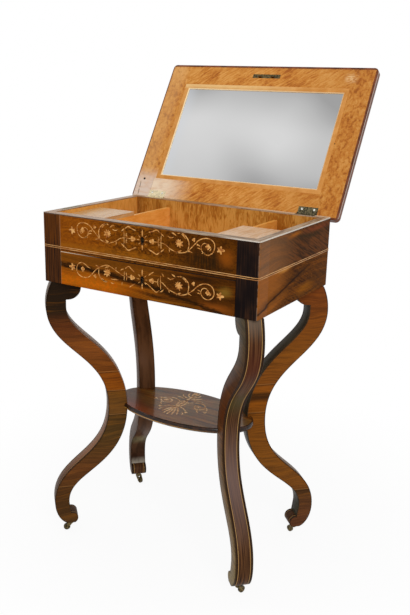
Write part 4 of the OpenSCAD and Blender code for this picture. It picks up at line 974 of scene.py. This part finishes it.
SPRAY_STRANDS = [(7.0, -13, 62, -13, 40, -13, 20, -13, 0, -13, -22),
    (5.4, -13, 32, -21, 17, -20, 2, -15, -12), (5.4, -13, 32, -5, 17, -6, 2, -11, -12),
    (5.0, -15, 48, -25, 58, -28, 70), (5.0, -11, 48, -1, 58, 2, 70), (4.6, -14, 56, -19, 68, -19, 80),
    (4.6, -12, 56, -7, 68, -7, 80), (4.2, -17, 42, -30, 47, -39, 57), (4.2, -9, 42, 4, 47, 13, 57),
    (5.4, -18, -14, -24, -30, -29, -48), (5.4, -16, -20, -18, -36, -20, -54),
    (5.4, -13, -22, -11, -38, -10, -57), (5.4, -10, -20, -4, -36, 0, -54),
    (5.4, -8, -14, 2, -30, 10, -48), (4.6, -20, 14, -32, 25, -50, 27, -64, 17, -63, 2, -51, -5),
    (4.2, -51, -5, -41, 1, -40, 12, -48, 18, -57, 13), (4.0, -57, 13, -56, 5, -50, 5),
    (4.4, -63, 8, -71, 14, -76, 8), (4.4, -57, -3, -55, -12, -47, -18),
    (4.6, -6, 14, 6, 26, 24, 32, 40, 24, 43, 8, 30, 0, 20, 8), (4.2, 20, 8, 20, 18, 31, 18),
    (4.4, 42, 18, 51, 12, 54, 2), (4.4, 34, 2, 36, -8, 44, -14), (4.0, -16, -6, -29, -12, -40, -22),
    (4.0, -10, -6, 4, -12, 17, -22), (4.0, -24, 36, -36, 40, -46, 38), (4.0, 0, 36, 13, 42, 24, 40),
    (4.0, -32, -30, -38, -36, -40, -44), (4.0, 12, -30, 18, -36, 20, -44)]
SPRAY_BLOOMS = [(-13, -17, (12, 5, 0.5, 90, 1.0)), (-52, 10, (11, 5, 0.5, 0, 1.0)),
    (28, 15, (11, 5, 0.5, 0, 1.0)), (20, -27, (10, 5, 0.5, 0, 1.0)), (-46, -27, (10, 5, 0.5, 0, 1.0)),
    (-14, 72, (12, 3, 0.5, 90, 1.3)), (55, -4, (9, 3, 0.5, 300, 1.2)), (-78, 4, (9, 3, 0.5, 240, 1.2))]

# Each leg: its corner of the case, then the tones of its sides as a height and a colour, the
# heights of its joints, the tones of its hollow side and the colour of the painted sheen on its
# outside. The pale stops in the hollow tones of the front left and back left legs are painted
# highlights, and the front right leg's side tones are lightened towards the foot, partly its
# veneer's own tone and partly painted light.
LEGS = (
    ("front_left", (-1, -1),
     [(0.03, 82, 54, 26), (0.1, 76, 48, 22), (0.16, 102, 60, 28), (0.2, 92, 60, 28), (0.24, 82, 58, 26),
      (0.284, 78, 54, 24), (0.29, 104, 68, 30), (0.34, 104, 66, 24), (0.346, 132, 68, 12),
      (0.386, 128, 66, 14), (0.392, 112, 60, 18), (0.44, 130, 72, 28), (0.5, 90, 46, 20),
      (0.53, 40, 27, 15), (0.58, 30, 21, 12)],
     (0.387, 0.342, 0.285, 0.118),
     [(0.03, 72, 60, 46), (0.3, 84, 64, 50), (0.37, 176, 150, 134), (0.49, 164, 140, 124),
      (0.56, 52, 42, 32)],
     (176, 126, 96)),
    ("front_right", (1, -1),
     [(0.03, 146, 126, 84), (0.12, 136, 110, 70), (0.26, 116, 84, 50), (0.35, 96, 48, 18),
      (0.45, 84, 52, 32), (0.58, 84, 72, 48)],
     (0.3,),
     [(0.03, 66, 56, 42), (0.58, 66, 56, 42)],
     (126, 104, 98)),
    ("back_left", (-1, 1),
     [(0.03, 70, 46, 26), (0.3, 86, 52, 24), (0.58, 66, 36, 16)],
     (0.28,),
     [(0.036, 72, 56, 44), (0.052, 172, 162, 146), (0.07, 62, 38, 26), (0.108, 86, 58, 38),
      (0.128, 132, 120, 88), (0.152, 96, 64, 42), (0.28, 88, 58, 36), (0.58, 118, 76, 46)],
     (112, 92, 82)),
    ("back_right", (1, 1),
     [(0.03, 98, 58, 36), (0.1, 90, 56, 30), (0.118, 72, 46, 22), (0.125, 114, 68, 26),
      (0.2, 120, 72, 24), (0.31, 130, 74, 18), (0.342, 138, 76, 16), (0.352, 74, 42, 14),
      (0.363, 80, 46, 14), (0.369, 148, 82, 20), (0.384, 124, 70, 22), (0.45, 128, 74, 22),
      (0.58, 114, 58, 22)],
     (0.382, 0.318, 0.12),
     [(0.03, 64, 58, 44), (0.58, 64, 58, 44)],
     (126, 100, 78)),
)


def inlay(name, ground, strands, blooms, material, body, lean=0.0):
    """One piece of marquetry from all its strands and blooms, tilted a little by a given lean."""
    def tilted(flat):
        """Flat places with their heights raised by lean for each step across."""
        across, up = np.array(flat, float).reshape(-1, 2).T
        return np.stack([across, up + lean * across], -1)

    grids = [ground.strand(width, tilted(points)) for width, *points in strands]
    grids += [ground.bloom(tilted(centre), *shape) for *centre, shape in blooms]
    piece(name, grids, material, body)


def mirrored(strands, blooms):
    """The same marquetry on the other side of the keyhole."""
    flat = [(width, *(np.reshape(points, (-1, 2)) * (-1, 1)).ravel()) for width, *points in strands]
    return flat, [(-x, y, (size, lobes, notch, 180 - turn, stretch))
                  for x, y, (size, lobes, notch, turn, stretch) in blooms]


def marquetry():
    """Scroll-work on rail and drawer front, and the spray on the shelf."""
    wood = inlay_wood("inlay_wood", (194, 130, 60), (222, 166, 98))
    faded = inlay_wood("faded_inlay", (196, 150, 98), (238, 202, 152))
    rail, drawer = (Ground((0, FRONT, key), (1, 0, 0), (0, 0, 1), (0, -1, 0))
                    for key in (KEY_RAIL, KEY_DRAWER))
    shelf = Ground((0, MIDDLE, SHELF_TOP), (1, 0, 0), (0, 1, 0), (0, 0, 1))
    left_strands, left_blooms = mirrored(RAIL_STRANDS, RAIL_BLOOMS)
    inlay("rail_marquetry", rail, RAYS + RAIL_STRANDS + left_strands, RAIL_BLOOMS + left_blooms,
          wood, "case", RAIL_LEAN)
    inlay("drawer_marquetry", drawer, RAYS + DRAWER_RIGHT + DRAWER_LEFT, DRAWER_BLOOMS, wood,
          "drawer")
    inlay("shelf_marquetry", shelf, SPRAY_STRANDS, SPRAY_BLOOMS, faded, "case")


def stringing():
    """Two light strings round front and sides: a small rectangle carried along the case's plan,
    which is two straight sides, two quarter circles and the straight front."""
    turn = np.linspace(0, math.pi / 2, 9)
    bend_out = np.stack([np.sin(turn), -np.cos(turn)], -1)
    bend = np.array([HALF_W - CORNER_R, FRONT + CORNER_R]) + CORNER_R * bend_out
    right = np.vstack([bend, [[HALF_W, BACK - 2 * MM]]])
    right_out = np.vstack([bend_out, [[1, 0]]])
    plan, out = (np.vstack([half[::-1] * (-1, 1), half]) for half in (right, right_out))
    corners = ((INLAY_PROUD, -1), (INLAY_PROUD, 1), (-INLAY_SUNK, 1), (-INLAY_SUNK, -1))
    grids = []
    for z in (STRING_LOW, STRING_HIGH):
        lines = [np.c_[plan + out * proud, np.full(len(plan), z + side * STRING_T / 2)]
                 for proud, side in corners]
        grids.append(capped(np.stack(lines, 1)))
    piece("case_stringing", grids, string_wood(), "case")


def screws(name, ground, radius, material, body):
    """Screw heads of the hinges, in millimetres and nearly flush so that the leaves can close on
    them: each a low dome whose height falls with the square of the radius, cut across by a slot."""
    a = np.linspace(0, TURN, 28, endpoint=False)
    share = np.array([0, 1, 1, 0.97, 0.9, 0.78, 0.62, 0.44, 0.26, 0.1, 0])[:, None]
    ring = share[..., None] * radius * np.stack([np.cos(a), np.sin(a)], -1)[None]
    places = [(side * HINGE_X + x, SCREW_Y) for side in (-1, 1) for x in (-SCREW_X, SCREW_X)]
    grids = []
    for k, place in enumerate(places):
        turn = 0.7 + 1.9 * k
        across = np.abs(ring[..., 0] * math.sin(turn) - ring[..., 1] * math.cos(turn))
        dome = (HEAD_EDGE + HEAD_DOME * (1 - share ** 2)) * np.ones_like(across)
        dome = np.where(across < SLOT_SHARE * radius, dome - HEAD_DOME, dome)
        dome[:2] = -HEAD_SUNK
        grids.append(ground.at(np.array(place) + ring, dome * MM))
    smooth(piece(name, grids, material, body))


def hinge_screws():
    """The screws of both hinges, on the lid's inner face and on the rim."""
    bright = brass("screw_metal", (176, 174, 160), (240, 238, 228), 0.22)
    out = np.array([0.0, -math.sin(LID_OPEN), -math.cos(LID_OPEN)])
    face = np.array([0.0, HINGE_Y, RIM]) - out * LID_GAP
    lid = Ground(face, (1, 0, 0), (0, -math.cos(LID_OPEN), math.sin(LID_OPEN)), out)
    rim = Ground((0, HINGE_Y, RIM), (1, 0, 0), (0, -1, 0), (0, 0, 1))
    screws("hinge_screws_lid", lid, LID_HEAD_R, bright, "lid")
    screws("hinge_screws_case", rim, RIM_HEAD_R, bright, "case")


def legs():
    """The four scrolled legs, each in its own veneer."""
    for name, (sx, sy), *looks in LEGS:
        veneer = leg_veneer("leg_veneer_" + name, *looks)
        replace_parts(leg("scrolled_leg_" + name, sx, sy, veneer), "leg_" + name)


def white_floor(scene):
    """A floor that looks white, with a faint shadow close to the table, and that lights the
    table as plain matt white."""
    f = Finish("floor_white", 0.0, Roughness=0.9, Base_Color=(0.9, 0.9, 0.9, 1))
    x, y, _ = f.parts(f.place())
    clear = f.step(f.maths("SQRT", x * x + y * y), 0.25, 0.9) * 0.08 + 0.92
    glow = f.add("Emission", {}, {"Color": (1, 1, 1, 1), "Strength": 1.0})
    mixed = f.add("MixShader", {},
                  {0: f.seen() * clear, 1: Value(f, f.shader.outputs[0]), 2: glow})
    f.tree.links.new(mixed.socket, f.tree.nodes["Material Output"].inputs["Surface"])
    mesh = bpy.data.meshes.new("floor")
    corners = [(side_x * FLOOR_HALF, side_y * FLOOR_HALF, 0)
               for side_x, side_y in ((-1, -1), (1, -1), (1, 1), (-1, 1))]
    mesh.from_pydata(corners, [], [(0, 1, 2, 3)])
    mesh.materials.append(f.material)
    floor = bpy.data.objects.new("floor", mesh)
    scene.collection.objects.link(floor)


def white_room(scene):
    """Surroundings that look white and light the table more softly."""
    world = bpy.data.worlds.new("studio")
    scene.world = world
    world.use_nodes = True
    room = Shading(world.node_tree)
    strength = room.add("MapRange", {}, {0: room.seen(), "To Min": ROOM_LIGHT, "To Max": 1.0})
    background = room.tree.nodes["Background"]
    background.inputs["Color"].default_value = (1, 1, 1, 1)
    room.tree.links.new(strength.socket, background.inputs["Strength"])


def lamps(scene):
    """Soft square lamps, turned to the middle of the table."""
    for name, place, size, power, shines in LAMPS:
        lamp = bpy.data.lights.new(name, "AREA")
        lamp.size = size
        lamp.energy = power
        thing = bpy.data.objects.new(name, lamp)
        thing.location = place
        thing.visible_glossy = shines
        aim = Vector(LAMPS_AIM) - Vector(place)
        thing.rotation_euler = aim.to_track_quat("-Z", "Y").to_euler()
        scene.collection.objects.link(thing)


def camera_turn():
    """The camera's turn: it looks down by the pitch, turned by the yaw, and leans by the roll."""
    cy, sy = math.cos(CAMERA_YAW), math.sin(CAMERA_YAW)
    cp, sp = math.cos(CAMERA_PITCH), math.sin(CAMERA_PITCH)
    ahead = Vector((-sy * cp, cy * cp, -sp))
    right = Vector((cy, sy, 0))
    up = right.cross(ahead)
    cr, sr = math.cos(CAMERA_ROLL), math.sin(CAMERA_ROLL)
    right, up = right * cr + up * sr, up * cr - right * sr
    return Matrix((right, up, -ahead)).transposed().to_euler()


def camera(scene):
    """The camera of the photograph's view."""
    view = bpy.data.cameras.new("camera")
    view.lens = CAMERA_LENS
    view.sensor_width = CAMERA_SENSOR
    view.sensor_fit = "AUTO"
    thing = bpy.data.objects.new("camera", view)
    thing.location = CAMERA_PLACE
    thing.rotation_euler = camera_turn()
    scene.collection.objects.link(thing)
    scene.camera = thing


def finish_nodes():
    """Gives every shown node of the frame its finish."""
    orange = satinwood("partition_satinwood", (0.05, 0.05, 0.012), (216, 142, 58), (224, 156, 72),
                       (232, 170, 88))
    finishes = {
        "front_rail drawer_front": front_veneer(),
        "case_side_left case_side_right": side_veneer(),
        "front_post_left front_post_right": post_veneer(),
        "case_back": back_wood(),
        "case_bottom corner_blocks drawer_guides drawer_stops drawer_side_left "
        "drawer_side_right drawer_back drawer_bottom mirror_backing shelf_dowels": carcass_wood(),
        "rim_band": rim_wood(),
        "tray_lining": lining_wood(),
        "partition_left partition_right cross_partition_left cross_partition_right "
        "cover_ledges tray_floor": orange,
        "cover_left": satinwood("cover_satinwood", COVER_FLECKS, (178, 128, 76), (194, 150, 98),
                                (206, 168, 120), 0.24),
        "cover_right": satinwood("pale_cover_satinwood", COVER_FLECKS, (200, 156, 114),
                                 (212, 176, 140), (222, 192, 162), 0.24),
        "lid_board": lid_top_veneer(),
        "lid_facing": lid_burl(),
        "lid_moulding": lid_edge(),
        "shelf_moulding": shelf_edge(),
        "mirror_fillet": fillet_wood(),
        "mirror_glass": mirror_glass(),
        "lid_strike lid_lock drawer_lock castor_plates":
            brass("aged_brass", (58, 52, 36), (110, 92, 56), 0.42),
        "stay_plate": brass("plate_brass", (26, 26, 12), (128, 122, 80), 0.6, metal=0.0),
        "hinge_case_leaves hinge_lid_leaves":
            brass("hinge_brass", (46, 42, 30), (112, 102, 72), 0.4, -0.1),
        # painted shade: the escutcheons are near black, standing in for the shade inside the keyholes
        "upper_escutcheon drawer_escutcheon":
            brass("key_brass", (24, 18, 14), (52, 40, 26), 0.5),
        "hinge_pins lid_lock_bolt drawer_lock_bolt":
            brass("bolt_brass", (120, 100, 60), (190, 160, 96), 0.3),
        "shelf": shelf_veneer(),
        " ".join(name for name in nodes if name.startswith("castor_fork")):
            brass("castor_brass", (44, 40, 28), (120, 100, 58), 0.4),
        " ".join(name for name in nodes if name.startswith("castor_wheel")):
            brass("wheel_brass", (50, 44, 30), (96, 82, 50), 0.5),
    }
    for names, material in finishes.items():
        for name in names.split():
            nodes[name].material_slots[0].material = material


finish_nodes()
legs()
marquetry()
stringing()
hinge_screws()
white_floor(bpy.context.scene)
white_room(bpy.context.scene)
lamps(bpy.context.scene)
camera(bpy.context.scene)
bpy.context.scene.view_settings.view_transform = "Standard"
